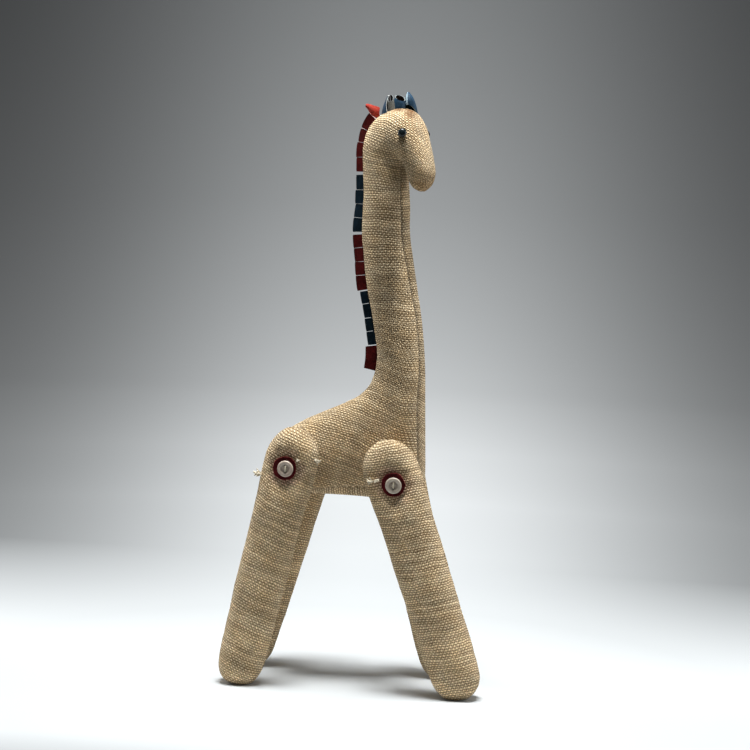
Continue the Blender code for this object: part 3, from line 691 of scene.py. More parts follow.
def body_skin():
    """The whole body's cloth: right panel, belly gusset and left panel, sewn together."""
    side_count, gusset_count = 21, 6
    fine = np.linspace(0.0, 1.0, 160)
    rings, side_weave, gusset_weave, seam_gap = [], [], [], []
    travelled, last_under = 0.0, None
    for place in body_rows(ROW_SPACING):
        station = station_at(place)
        edge = gusset_angle(station, max(station[5], 0.0009))
        panel = section(station, fine * edge, -1)
        length = curve_length(panel)
        shares = seam_fractions(side_count, length)
        right, length = even_points(panel, shares)
        gusset_angles = edge + (math.pi - edge) * np.linspace(0, 1, 80)
        half = section(station, gusset_angles, -1)
        half_right, half_length = even_points(half, np.linspace(0, 1, gusset_count // 2 + 1))
        left = right * (1, -1, 1)
        half_left = half_right * (1, -1, 1)
        ring = np.concatenate([right, half_right[1:], half_left[-2::-1], left[-2:0:-1]])
        rings.append(turn_head(ring))
        back, under = station[:2], station[2:4]
        direction = (under - back) / max(np.linalg.norm(under - back), 1e-6)
        offset = (shares - 0.5) * length
        flat = (back + under) / 2 + offset[:, None] * direction
        x, z = flat[:, 0].copy(), flat[:, 1].copy()
        flat[:, 1] += weave_tilt(x, z)
        flat[:, 0] -= weave_swing(z)
        side_weave.append(flat)
        if last_under is not None:
            travelled += np.linalg.norm(under - last_under)
        last_under = under.copy()
        across = np.linspace(-half_length, half_length, gusset_count + 1)
        gusset_weave.append(np.stack([across + 0.4, np.full_like(across, travelled)], axis=-1))
        side_gap = np.minimum(shares, 1 - shares) * length
        gusset_gap = half_length - np.abs(across)
        seam_gap.append(np.concatenate([side_gap, gusset_gap[1:], side_gap[-2:0:-1]]))
    rings = np.array(rings)
    side_weave, gusset_weave = np.array(side_weave), np.array(gusset_weave)
    panel_columns = side_weave.shape[1] - 1
    gusset_end = panel_columns + gusset_count
    columns = rings.shape[1]
    grids = [(0, panel_columns, side_weave),
             (panel_columns, gusset_end, gusset_weave),
             (gusset_end, columns, side_weave[:, ::-1] + (0.7, 0.0))]
    made = tube_rings(rings, grids, "body_cloth", [JUTE])
    gap = np.array(seam_gap)
    shape_body(made, with_caps(gap))
    return made


def shape_body(made, gap):
    """Presses in seams and eye sockets and adds soft unevenness, then paints shade, a highlight
    beside the seams and dark patches.

    The unevenness may also swell the cloth a little: by under half a millimetre.
    """
    mesh = made.data
    co, out = point_data(mesh, "co"), point_data(mesh, "normal")
    on_face = smoothstep((co[:, 0] - 0.028) / 0.015) * smoothstep((co[:, 2] - 0.54) / 0.02)
    on_belly = smoothstep((0.235 - co[:, 2]) / 0.02)
    groove = bell(gap, SEAM_WIDTH) * SEAM_DEPTH * (1 - 0.86 * on_face - 0.7 * on_belly)
    ripple = 0.5 + lumps(co, 0.0045, 2)
    pucker = bell(gap, 0.0045) * 0.0011 * ripple * (1 - 0.7 * on_face)
    soft = 0.0002 + 0.0012 * lumps(co, 0.042, 5) + 0.0006 * lumps(co, 0.014, 9)
    depth = groove + pucker + soft * (1 - 0.8 * on_belly)
    for name in ("right_eye", "left_eye"):
        low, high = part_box(name)
        centre = np.array((low + high) / 2)
        distance = np.linalg.norm(co - centre, axis=1)
        depth += 0.0016 * np.exp(-(distance / 0.0058) ** 4)
    co -= out * depth[:, None]
    beside_legs = co[:, 2] < 0.33
    co[beside_legs, 1] = np.clip(co[beside_legs, 1], -BODY_SIDE, BODY_SIDE)
    set_places(mesh, co)
    # painted shade in the seams, and a painted highlight on the ridge beside them
    seam_light_and_shade = 1 - BODY_SEAM_SHADE * bell(gap, 0.0012) * (1 - 0.88 * on_face - 0.7 * on_belly)
    seam_light_and_shade += BODY_SEAM_LIGHT * bell(gap - 0.0024, 0.0010) * (1 - on_face)
    neck = bell(co[:, 2] - 0.465, 0.090) * smoothstep((np.abs(co[:, 1]) - 0.004) / 0.018)
    neck *= smoothstep((0.022 - np.abs(co[:, 0] - 0.024)) / 0.016)
    # the muzzle is darker and browner: partly its own colour, partly painted shade
    muzzle = smoothstep((0.580 - co[:, 2]) / 0.03) * smoothstep((co[:, 0] - 0.046) / 0.012)
    muzzle *= smoothstep((co[:, 2] - 0.53) / 0.01)
    shade = np.repeat((seam_light_and_shade * (1 - NECK_SHADE * neck))[:, None], 3, axis=1)
    shade *= 1 - muzzle[:, None] * MUZZLE_TINT_AND_SHADE
    # dark patches below the leathers; the broad one on the forehead is painted shade
    for centre, size, strength in SCALP_PATCHES:
        away = np.linalg.norm(co - centre, axis=1) / size + 0.7 * lumps(co, 0.006, 31)
        dark_mark = strength * np.exp(-away ** 4)
        shade *= 1 - dark_mark[:, None] * SCALP_PATCH_COLOUR
    paint(made, shade)
    subdivide(made)


# ---- legs --------------------------------------------------------------------------------
def leg_length(leg):
    foot_radius = LEG_PROFILE[-4][1]
    drop = (leg.hip_z - foot_radius + SOLE_PRESS) / math.cos(leg.lean)
    return leg.above + drop + foot_radius


def smooth_profile(share):
    """Half width and fullness of a leg at a share of its length, on a smooth curve."""
    table = LEG_PROFILE
    i = int(np.clip(np.searchsorted(table[:, 0], share) - 1, 0, len(table) - 2))
    f = (share - table[i, 0]) / (table[i + 1, 0] - table[i, 0])
    slopes = []
    for k in (i, i + 1):
        low, high = max(k - 1, 0), min(k + 1, len(table) - 1)
        slopes.append((table[high, 1:] - table[low, 1:]) / (table[high, 0] - table[low, 0]))
    step = table[i + 1, 0] - table[i, 0]
    h = f * f * (3 - 2 * f)
    bend = f * (1 - f) ** 2 * slopes[0] - f * f * (1 - f) * slopes[1]
    return table[i, 1:] * (1 - h) + table[i + 1, 1:] * h + bend * step


def leg_skin(leg):
    """One leg's cloth: an outer and an inner panel, sewn down the front and the back."""
    scale, above = leg.width_scale, leg.above
    length = leg_length(leg)
    fine_shares = np.concatenate([np.linspace(0, 0.1, 200), np.linspace(0.1, 0.9, 300)[1:],
                                  np.linspace(0.9, 1.0, 200)[1:]])
    fine_rows = np.array([smooth_profile(s) for s in fine_shares])
    line = np.stack([fine_rows[:, 0] * scale, fine_shares * length], axis=-1)
    travelled = distances_along(line)
    count = int(travelled[-1] / ROW_SPACING)
    shares = np.interp(np.linspace(0, travelled[-1], count + 1), travelled, fine_shares)
    angles = np.linspace(0, math.pi, 200)
    power = 2 / SECTION_POWER
    rings, weaves, gaps = [], [], []
    for share in shares:
        half_width, fullness = smooth_profile(share)
        c, s = np.cos(angles), np.sin(angles)
        x = half_width * scale * np.sign(c) * np.abs(c) ** power
        y = LEG_THICKNESS / 2 * fullness * np.abs(s) ** power
        z = np.full_like(x, above - share * length)
        curve = np.stack([x, y, z], axis=-1)
        around = curve_length(curve)
        fractions = seam_fractions(19, around)
        outer, around = even_points(curve, fractions)
        inner = outer * (1, -1, 1)
        rings.append(np.concatenate([outer, inner[-2:0:-1]]))
        u = (fractions - 0.5) * around
        v = above - share * length + math.tan(leg.weave_tilt) * u
        weaves.append(np.stack([u, v], axis=-1))
        gap = np.minimum(fractions, 1 - fractions) * around
        gaps.append(np.concatenate([gap, gap[-2:0:-1]]))
    rings, weaves, gaps = np.array(rings), np.array(weaves), np.array(gaps)
    half = weaves.shape[1] - 1
    columns = rings.shape[1]
    shift = 0.11 * LEGS.index(leg)
    grids = [(0, half, weaves + (shift, shift)),
             (half, columns, weaves[:, ::-1] + (shift + 1.3, shift))]
    made = tube_rings(rings, grids, leg.name + "_leg_cloth", [JUTE])
    shape_leg(made, with_caps(gaps), leg)
    return made


def shape_leg(made, gap, leg):
    """Adds seams, lumps, creases and the button's dimple, stands the leg, and paints it.

    The lumps may also swell the cloth a little: by under half a millimetre.
    """
    name, side, hip_x, hip_z, lean = leg[:5]
    seed = 20 + 3 * LEGS.index(leg)
    mesh = made.data
    co, out = point_data(mesh, "co"), point_data(mesh, "normal")
    groove = bell(gap, SEAM_WIDTH) * SEAM_DEPTH
    pucker = bell(gap, 0.0050) * 0.0016 * (0.5 + lumps(co, 0.0048, seed))
    soft = 0.0003 + 0.0018 * lumps(co, 0.036, seed + 1) + 0.0006 * lumps(co, 0.013, seed + 2)
    foot = smoothstep((-co[:, 2] - 0.11) / 0.06)
    soft += foot * 0.0010 * (0.3 + lumps(co * (1, 1, 1.6), 0.022, seed + 4))
    co -= out * (groove + pucker + soft)[:, None]

    co[:, 1] *= side
    turn = np.array(Matrix.Rotation(-lean, 3, "Y"))
    around_y = np.arctan2(co[:, 1] * side, co[:, 0])
    for height, crease, reach in CREASES[name]:
        wander = 0.0016 * np.sin(3.1 * around_y + seed)
        wander = wander + 0.004 * lumps(co * (1, 1, 0.2), 0.02, seed + 7)
        line = bell(co[:, 2] - height - wander, 0.0016)
        line *= smoothstep((np.sin(np.abs(around_y)) + reach - 0.9) / 0.5)
        pull = co * (1, 1, 0)
        inward = pull / np.maximum(np.linalg.norm(pull, axis=1), 1e-6)[:, None]
        co = co - inward * (line * crease)[:, None]
    co = co @ turn.T + (hip_x, side * HIP_Y, hip_z)

    offset = WASHER_OFFSET[name]
    dx, dz = co[:, 0] - hip_x - offset[0], co[:, 2] - hip_z - offset[1]
    radius, theta = np.hypot(dx, dz), np.arctan2(dz, dx)
    depth = co[:, 1] * side - HIP_Y
    outward = depth > 0
    rise = 1 - np.exp(-(np.clip(radius - DIMPLE_INSIDE, 0, None) / DIMPLE_REACH) ** 1.35)
    circle = np.stack([np.cos(theta) * 1.7, np.sin(theta) * 1.7, np.full_like(theta, seed)], axis=-1)
    spokes = 0.5 + 0.5 * np.cos(9 * theta + 5 * lumps(circle, 1.0, seed))
    fold = bell(radius - 0.0175, 0.0060) * 0.0014 * spokes
    sunk = WASHER_SEAT + (depth - WASHER_SEAT) * rise - fold
    co[outward, 1] = side * (HIP_Y + np.minimum(depth, sunk)[outward])
    ring = np.where(outward, bell(radius - 0.0135, 0.0042), 0.0)
    dark_mark = np.where(outward, bell(radius - 0.0150, 0.0060), 0.0)
    co[co[:, 2] < 0, 2] = 0.0
    closest = BODY_SIDE + 0.0006
    inside = co[:, 1] * side < closest
    co[inside, 1] = side * closest
    set_places(mesh, co)
    if side < 0:
        fix_winding(mesh)
    shade = 1 - LEG_SEAM_SHADE * bell(gap, 0.0014)
    shade *= 1 - WASHER_RING_SHADE * ring
    shade *= 1 - SOLE_SHADE * smoothstep((0.018 - co[:, 2]) / 0.018)
    shade *= 1 - LEG_TOP_SHADE * smoothstep((co[:, 2] - hip_z - 0.018) / 0.020)
    # a purplish tint in blotches round the washer
    blotch = dark_mark * smoothstep(0.5 + 2.2 * lumps(co, 0.012, seed + 3))
    paint(made, np.repeat(shade[:, None], 3, axis=1) * (1 - blotch[:, None] * WASHER_TINT_COLOUR))
    subdivide(made)
    co = point_data(made.data, "co")
    co[:, 2] = np.maximum(co[:, 2], 0.0)
    set_places(made.data, co)


# ---- small turned pieces -----------------------------------------------------------------
def lathe(name, profile, materials, segments=72, wobble=None, face_materials=None):
    """Turns a closed profile of (radius, height) about Z.  wobble(angle, radius, height)."""
    points, faces, kinds = [], [], []
    count = len(profile)
    for k in range(segments):
        angle = 2 * math.pi * k / segments
        for radius, height in profile:
            if wobble:
                radius, height = wobble(angle, radius, height)
            points.append((radius * math.cos(angle), radius * math.sin(angle), height))
    for k in range(segments):
        nxt = (k + 1) % segments
        for i in range(count):
            j = (i + 1) % count
            faces.append((k * count + i, nxt * count + i, nxt * count + j, k * count + j))
            kinds.append(face_materials[i] if face_materials else 0)
    made = add_mesh(name, points, faces, materials, kinds, sharp=math.radians(40))
    fix_winding(made.data)
    return made


def stand_out(made, side, place, yaw_pitch=(0.0, 0.0)):
    """Turns a piece made about Z so that its top faces outward from the toy's side."""
    yaw, pitch = yaw_pitch
    turn = Matrix.Rotation(-side * math.pi / 2, 4, "X")
    turn = Matrix.Rotation(side * yaw, 4, "Z") @ Matrix.Rotation(-side * pitch, 4, "X") @ turn
    made.data.transform(Matrix.Translation(place) @ turn)


def washer(leg):
    name, side, hip_x, hip_z = leg[:4]
    seed = LEGS.index(leg) + 1
    outer, top, hole = WASHER_RADIUS, WASHER_THICKNESS, WASHER_HOLE
    profile = [(hole, 0.0), (hole, top), (0.0060, top), (0.0095, top), (outer - 0.0010, top),
               (outer - 0.0003, top * 0.85), (outer, top * 0.5), (outer - 0.0004, top * 0.1),
               (outer - 0.0012, 0.0), (0.0095, 0.0), (0.0060, 0.0)]

    def wobble(angle, radius, height):
        circle = Vector((math.cos(angle) * 1.6, math.sin(angle) * 1.6, seed * 4.3))
        share = max(radius - 0.008, 0) / (outer - 0.008)
        ragged = 0.0009 * noise.noise(circle) + 0.00035 * noise.noise(circle * 4.5)
        lift = share * share * (0.0011 + 0.0007 * noise.noise(circle * 1.3 + Vector((0, 0, 9))))
        return radius + share * ragged, height + lift

    kinds = [1, 0, 0, 0, 0, 1, 1, 1, 0, 0, 0]
    made = lathe(name + "_washer", profile, [MAROON, MAROON_EDGE], 96, wobble, kinds)
    off_x, off_z = WASHER_OFFSET[name]
    place = Vector((hip_x + off_x, side * (HIP_Y + WASHER_SEAT - 0.0002), hip_z + off_z))
    stand_out(made, side, place)
    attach(made, name + "_leg")
    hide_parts(name + "_leg_washer")


def button(leg, looks):
    """A two-hole button: a rounded rim, a worn dish and a pair of holes for the cord."""
    name, side, hip_x, hip_z = leg[:4]
    edge, t, dish = BUTTON_RADIUS, BUTTON_THICKNESS, BUTTON_DISH
    profile = [(0.0004, 0.0), (edge * 0.72, 0.0), (edge * 0.90, t * 0.16), (edge * 0.985, t * 0.42),
               (edge, t * 0.58), (edge * 0.985, t * 0.74), (edge * 0.94, t * 0.91),
               (edge * 0.86, t), (edge * 0.74, t * 0.99), (edge * 0.64, t * 0.93),
               (edge * 0.56, t * 0.82), (edge * 0.50, dish * 1.18), (edge * 0.44, dish * 1.03),
               (edge * 0.30, dish), (0.0004, dish)]
    made = lathe(name + "_button_disc", profile, [looks], 80)
    for k in (-1, 1):
        bpy.ops.mesh.primitive_cylinder_add(vertices=28, radius=0.00165, depth=0.02,
                                            location=(0.0, k * CORD_OFFSET, 0.0))
        cutter = bpy.context.object
        hole = made.modifiers.new("hole", "BOOLEAN")
        hole.object, hole.operation, hole.solver = cutter, "DIFFERENCE", "EXACT"
        apply_modifiers(made)
        bpy.data.objects.remove(cutter)
    clean(made.data)
    co = point_data(made.data, "co")
    radius = np.hypot(co[:, 0], co[:, 1])
    top = co[:, 2] > dish * 0.5
    # painted shade in the corner of the dish, and darker round the holes
    hollow = bell(radius - edge * 0.46, 0.0009)
    near_hole = np.minimum(np.hypot(co[:, 0], co[:, 1] - CORD_OFFSET),
                           np.hypot(co[:, 0], co[:, 1] + CORD_OFFSET))
    near_hole_dark = 0.55 * bell(np.clip(near_hole - 0.0016, 0, None), 0.0008)
    paint(made, 1 - np.where(top, np.maximum(0.26 * hollow, near_hole_dark), 0.0))
    made.data.set_sharp_from_angle(angle=math.radians(38))
    base = HIP_Y + WASHER_SEAT + WASHER_THICKNESS + BUTTON_LIFT
    off_x, off_z = BUTTON_OFFSET[name]
    stand_out(made, side, Vector((hip_x + off_x, side * base, hip_z + off_z)), BUTTON_TURN[name])
    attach(made, "trunk")
    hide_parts(name + "_button")


def strand_mesh(path, radius, closed, sides):
    """Points and faces of a thin round thread along a path."""
    path = np.asarray(path, float)
    count = len(path)
    ahead = np.roll(path, -1, axis=0) - np.roll(path, 1, axis=0)
    if not closed:
        ahead[0], ahead[-1] = path[1] - path[0], path[-1] - path[-2]
    ahead /= np.linalg.norm(ahead, axis=1)[:, None]
    normal = np.cross(ahead[0], (0.31, 0.52, 0.79))
    points, faces = [], []
    for k in range(count):
        normal = normal - ahead[k] * normal.dot(ahead[k])
        normal /= np.linalg.norm(normal)
        other = np.cross(ahead[k], normal)
        for s in range(sides):
            angle = 2 * math.pi * s / sides
            points.append(path[k] + radius * (normal * math.cos(angle) + other * math.sin(angle)))
    for k in range(count if closed else count - 1):
        for s in range(sides):
            a, b = k * sides + s, k * sides + (s + 1) % sides
            c, d = ((k + 1) % count) * sides + s, ((k + 1) % count) * sides + (s + 1) % sides
            faces.append((a, b, d, c))
    if not closed:
        faces.append(tuple(range(sides))[::-1])
        faces.append(tuple(range((count - 1) * sides, count * sides)))
    return points, faces


def add_strand(points, faces, track, radius, closed=False, sides=7):
    """Adds a thin round thread along a track to the points and faces so far."""
    more, skin = strand_mesh(track, radius, closed, sides)
    start = len(points)
    points += more
    faces += [tuple(i + start for i in face) for face in skin]


def twisted(name, path):
    """A laid twine: plies that wind round the path."""
    path = np.asarray(path, float)
    travelled = distances_along(path)
    count = max(int(travelled[-1] / (CORD_PITCH / 7)), 8)
    at = np.linspace(0, travelled[-1], count)
    line = at_distances(path, travelled, at)
    ahead = np.gradient(line, axis=0)
    ahead /= np.linalg.norm(ahead, axis=1)[:, None]
    side = np.cross(ahead[0], (0.2, 0.1, 0.97))
    points, faces, frames = [], [], []
    for k in range(count):
        side = side - ahead[k] * side.dot(ahead[k])
        side /= np.linalg.norm(side)
        frames.append((side, np.cross(ahead[k], side)))
    turns = max(round(travelled[-1] / CORD_PITCH), 1)
    offset = STRAND_RADIUS * PLY_OFFSET
    for ply in range(CORD_PLIES):
        angles = 2 * math.pi * (ply / CORD_PLIES + turns * at / travelled[-1])
        track = [line[k] + offset * (frames[k][0] * math.cos(a) + frames[k][1] * math.sin(a))
                 for k, a in enumerate(angles)]
        add_strand(points, faces, track, STRAND_RADIUS)
    return add_mesh(name, points, faces, [TWINE], sharp=None)


def joint_cord(name, right, left):
    """The cord's loop through two legs and the body, with a bar across each button."""
    middle = HIP_Y + WASHER_SEAT + WASHER_THICKNESS + BUTTON_LIFT + BUTTON_DISH + BAR_GAP
    path = []
    for side, leg in ((1, left), (-1, right)):
        off_x, off_z = BUTTON_OFFSET[leg.name]
        for k in range(BAR_STEPS + 1):
            angle = math.pi / 2 - math.pi * k / BAR_STEPS
            out = middle + BAR_RISE * math.cos(angle) ** 0.7 if k % BAR_STEPS else middle
            up = side * CORD_OFFSET * math.sin(angle)
            path.append((leg.hip_x + off_x, side * out, leg.hip_z + off_z + up))
    path.append(path[0])
    made = twisted(name + "_strands", path)
    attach(made, "trunk")
    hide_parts(name)


def thread_tuft(leg, tufts, knot_at):
    """The tied-off sewing thread: short frayed ends that stand out of a tiny knot."""
    name, side, hip_x, hip_z, lean = leg[:5]
    rng = np.random.default_rng(40 + LEGS.index(leg))
    points, faces = [], []
    turn = np.array(Matrix.Rotation(-lean, 3, "Y"))
    for centre, direction, length, count in tufts:
        centre, direction = np.array(centre, float), np.array(direction, float)
        for k in range(count):
            aim = direction + rng.normal(0, 0.24 if k else 0.05, 3)
            aim /= np.linalg.norm(aim)
            reach = length * rng.uniform(0.7, 1.1)
            bend = rng.normal(0, 0.22, 3)
            track = [centre + aim * reach * f + bend * reach * f * f for f in np.linspace(0, 1, 6)]
            add_strand(points, faces, track, 0.00062 if k else 0.00125, sides=6 if k else 9)
    knot = np.array(knot_at, float)
    ring = [knot + 0.0009 * np.array((math.cos(a), 0.35 * math.sin(2 * a), math.sin(a)))
            for a in np.linspace(0, 2 * math.pi, 16, endpoint=False)]
    add_strand(points, faces, ring, 0.00052, closed=True)
    points = np.array(points) * (1, side, 1) @ turn.T + (hip_x, side * HIP_Y, hip_z)
    made = add_mesh(name + "_thread", points, faces, [TWINE], sharp=None)
    if side < 0:
        fix_winding(made.data)
    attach(made, name + "_leg")
    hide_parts(name + "_leg_thread_end")


def eye(name, body_side):
    """A domed bead with a thin collar, half sunk in the cloth."""
    low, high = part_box(name)
    centre = (low + high) / 2
    head_centre = Vector((0.034, -0.006, 0.612))
    outward = centre - head_centre
    r = EYE_RADIUS
    profile = [(0.0002, -0.0024), (r * 0.60, -0.0022), (r * 0.96, -0.0010), (r * 1.04, -0.0003),
               (r * 1.05, 0.0001), (r * 0.99, 0.0005), (r * 0.955, 0.0008), (r * 0.90, 0.0014),
               (r * 0.78, 0.0020), (r * 0.60, 0.0025), (r * 0.38, 0.0028), (0.0002, 0.0029)]
    made = lathe(name + "_bead", profile, [BEAD], 56)
    facing = eye_normal(outward, body_side)
    turn = facing.to_track_quat("Z", "Y").to_matrix().to_4x4()
    made.data.transform(Matrix.Translation(centre + facing * 0.0002) @ turn)
    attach(made, "trunk")
    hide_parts(name)


def eye_normal(outward, side):
    """The way out of the cloth at an eye, from three points of the skin round it."""
    place, angle, step = EYE_STATION[side], EYE_ANGLE, 0.05
    here, round_it = turn_head(section(station_at(place), np.array([angle, angle + step]), side))
    ahead = turn_head(section(station_at(place + step), np.array([angle]), side))[0]
    normal = Vector(np.cross(ahead - here, round_it - here)).normalized()
    return normal if normal.dot(outward) > 0 else -normal


# ---- leather -----------------------------------------------------------------------------
def thick_sheet(name, grid, thickness, materials, mask=None, back_material=0, band=0):
    """Leather of even thickness over a grid of points, with its own material on cut edges.

    band is how many of the last columns show the pale edge on the front as well.
    """
    grid = np.asarray(grid, float)
    rows, columns = grid.shape[:2]
    along_rows, along_columns = np.gradient(grid, axis=0), np.gradient(grid, axis=1)
    normal = np.cross(along_rows, along_columns)
    normal /= np.maximum(np.linalg.norm(normal, axis=2), 1e-9)[..., None]
    front = (grid + normal * thickness / 2).reshape(-1, 3)
    back = (grid - normal * thickness / 2).reshape(-1, 3)
    count = rows * columns
    if mask is None:
        mask = np.ones((rows - 1, columns - 1), bool)
    faces, kinds, edges = [], [], {}
    for i in range(rows - 1):
        for j in range(columns - 1):
            if not mask[i, j]:
                continue
            a, b = i * columns + j, i * columns + j + 1
            c, d = (i + 1) * columns + j + 1, (i + 1) * columns + j
            loop = (a, d, c, b)
            faces.append(loop)
            faces.append(tuple(v + count for v in loop[::-1]))
            kinds += [1 if j >= columns - 1 - band else 0, back_material]
            for one, two in zip(loop, loop[1:] + loop[:1]):
                edges[(one, two)] = edges.get((one, two), 0) + 1
    for one, two in edges:
        if (two, one) not in edges:
            faces.append((two, one, one + count, two + count))
            kinds.append(1)
    made = add_mesh(name, np.concatenate([front, back]), faces, materials, kinds,
                    sharp=math.radians(48))
    clean(made.data)
    fix_winding(made.data)
    return made


def back_edge(place, lift):
    here = station_at(place)
    before, after = station_at(max(place - 0.05, 0)), station_at(place + 0.05)
    along = np.array((after[0] - before[0], 0.0, after[1] - before[1]))
    along /= np.linalg.norm(along)
    return np.array((here[0], 0.0, here[1])) + np.array((-along[2], 0.0, along[0])) * lift


def place_at_height(height):
    low, high = 8.0, 23.0
    for _ in range(30):
        middle = (low + high) / 2
        if station_at(middle)[1] < height:
            low = middle
        else:
            high = middle
    return low


def mane_strip(index, name, is_red, start, end, slits, scale):
    """A strip that stands on the back seam, slit into tabs that each curl their own way."""
    rng = np.random.default_rng(11 + index)
    top = MANE_HEIGHT * scale
    lifts = np.array([MANE_ROOT, 0.0, MANE_SLIT, 0.0035, 0.0055, 0.0080, 0.0105, top - 0.0006, top])
    lifts = np.sort(np.minimum(lifts, top))
    edges = [start, *slits, end]
    tabs = len(edges) - 1
    heights, owners, insides = [], [], []
    for tab in range(tabs):
        high = edges[tab] - (TAB_GAP / 2 if tab else 0.0)
        low = edges[tab + 1] + (TAB_GAP / 2 if tab < tabs - 1 else 0.0)
        heights += list(np.linspace(high, low, TAB_POINTS))
        insides += list(np.linspace(-1, 1, TAB_POINTS))
        owners += [tab] * TAB_POINTS
    longer = 1 + rng.uniform(-0.025, 0.02, tabs)
    bends = rng.uniform(-0.0011, 0.0011, tabs)
    twists = rng.uniform(-0.0009, 0.0009, tabs)
    skews = rng.uniform(-0.0003, 0.0003, tabs)
    grid = np.zeros((len(lifts), len(heights), 3))
    for j, (height, inside, tab) in enumerate(zip(heights, insides, owners)):
        for i, lift in enumerate(lifts):
            f = max(lift / top, 0.0)
            corner = 1 - 0.03 * abs(inside) ** 6 * f
            place = place_at_height(height + skews[tab] * f * f)
            point = back_edge(place, lift * longer[tab] * corner)
            point[1] += f * f * (bends[tab] + inside * twists[tab])
            grid[i, j] = point
    mask = np.ones((len(lifts) - 1, len(heights) - 1), bool)
    for j in range(len(heights) - 1):
        if owners[j] != owners[j + 1]:
            mask[2:, j] = False
    looks = [RED, RED_EDGE] if is_red else [BLUE, BLUE_EDGE]
    made = thick_sheet(name + "_leather", turn_head(grid), 0.0012, looks, mask)
    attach(made, "trunk")
    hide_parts(name)


def wrapped(base, tip, radii, angles, foot=(0.0, 0.0), mouth=(0.0, 0.0)):
    """A sheet wrapped round a leaning axis, from base to tip.

    radii are the radius at even steps up the axis.  angles are the first and last angle in
    degrees, at the bottom and at the top: 0 is the giraffe's front, -90 its right side.  foot and
    mouth cut the lower and the upper edge askew: each is (towards front, towards right).
    """
    base, tip = np.array(base, float), np.array(tip, float)
    axis = tip - base
    length = np.linalg.norm(axis)
    axis /= length
    ahead = np.array((1.0, 0.0, 0.0)) - axis * axis[0]
    ahead /= np.linalg.norm(ahead)
    aside = np.cross(axis, ahead)
    steps = np.linspace(0, 1, len(radii))
    grid = np.zeros((WRAP_ROWS, WRAP_COLUMNS, 3))
    for i in range(WRAP_ROWS):
        share = i / (WRAP_ROWS - 1)
        low = angles[0][0] + (angles[1][0] - angles[0][0]) * share
        high = angles[0][1] + (angles[1][1] - angles[0][1]) * share
        for j in range(WRAP_COLUMNS):
            angle = math.radians(low + (high - low) * j / (WRAP_COLUMNS - 1))
            front, right = math.cos(angle), -math.sin(angle)
            start = max(foot[0] * front + foot[1] * right, -0.08)
            end = 1 + mouth[0] * front + mouth[1] * right
            along = start + (end - start) * share
            radius = np.interp(share, steps, radii)
            centre = base + axis * length * along
            grid[i, j] = centre + radius * (ahead * front - aside * right)
    return grid[:, ::-1]


def forelock_grid():
    """A short strap at the front of the mane, cupped a little, that points up and back."""
    rows, columns = 14, 9
    outline = ((0.0068, 0.6292, 0.6400), (0.0045, 0.6290, 0.6412), (0.0010, 0.6303, 0.6420),
               (-0.0030, 0.6335, 0.6430), (-0.0060, 0.6385, 0.6436), (-0.0086, 0.6408, 0.6430))
    grid = np.zeros((rows, columns, 3))
    shares = np.linspace(0, 1, len(outline))
    x, low, high = (np.array(column) for column in zip(*outline))
    for i in range(rows):
        share = i / (rows - 1)
        here, bottom, top = (np.interp(share, shares, line) for line in (x, low, high))
        for j in range(columns):
            f = j / (columns - 1)
            cup = 0.0016 * math.sin(math.pi * f) + 0.0012 * share
            aside = -0.0032 - cup - 0.0012 * math.sin(5 * share)
            grid[i, j] = (here, aside, bottom + (top - bottom) * f)
    return grid


def leather_piece(name, node, grid, materials, thickness=0.0011, back_material=0, band=0):
    made = thick_sheet(name, grid, thickness, materials, back_material=back_material, band=band)
    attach(made, "trunk")
    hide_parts(node)


# ---- build the toy -----------------------------------------------------------------------
# thread ends from the hip, in the leg's own directions: place, way out, length, how many
FRONT_TUFTS = (((-0.0128, 0.0215, 0.0086), (-0.3, 1.0, 0.25), 0.0042, 11),
               ((-0.0196, 0.0210, 0.0089), (-0.7, 0.7, 0.10), 0.0048, 12))
HIND_TUFTS = (((-0.0262, 0.0085, -0.0160), (-1.0, 0.35, -0.10), 0.0078, 30),
              ((0.0085, 0.0206, 0.0100), (0.3, 1.0, 0.6), 0.0042, 6),
              ((0.0254, 0.0105, 0.0150), (0.9, 0.6, -0.2), 0.0062, 8))
FRONT_KNOT, HIND_KNOT = (-0.0162, 0.0222, 0.0088), (-0.0272, 0.0090, -0.0162)

body = body_skin()
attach(body, "trunk")
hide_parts("right_side_panel", "left_side_panel", "belly_gusset", "body_stuffing")

for leg in LEGS:
    name = leg.name
    is_front = name.startswith("front")
    skin = leg_skin(leg)
    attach(skin, name + "_leg")
    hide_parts(name + "_leg_outer_panel", name + "_leg_inner_panel", name + "_leg_stuffing")
    washer(leg)
    button(leg, BUTTON_GREY if is_front else BUTTON_PINK)
    thread_tuft(leg, FRONT_TUFTS if is_front else HIND_TUFTS, FRONT_KNOT if is_front else HIND_KNOT)

joint_cord("front_joint_cord", LEGS[0], LEGS[1])
joint_cord("hind_joint_cord", LEGS[2], LEGS[3])
eye("right_eye", -1)
eye("left_eye", 1)

for index, strip in enumerate(MANE_STRIPS):
    mane_strip(index, *strip)

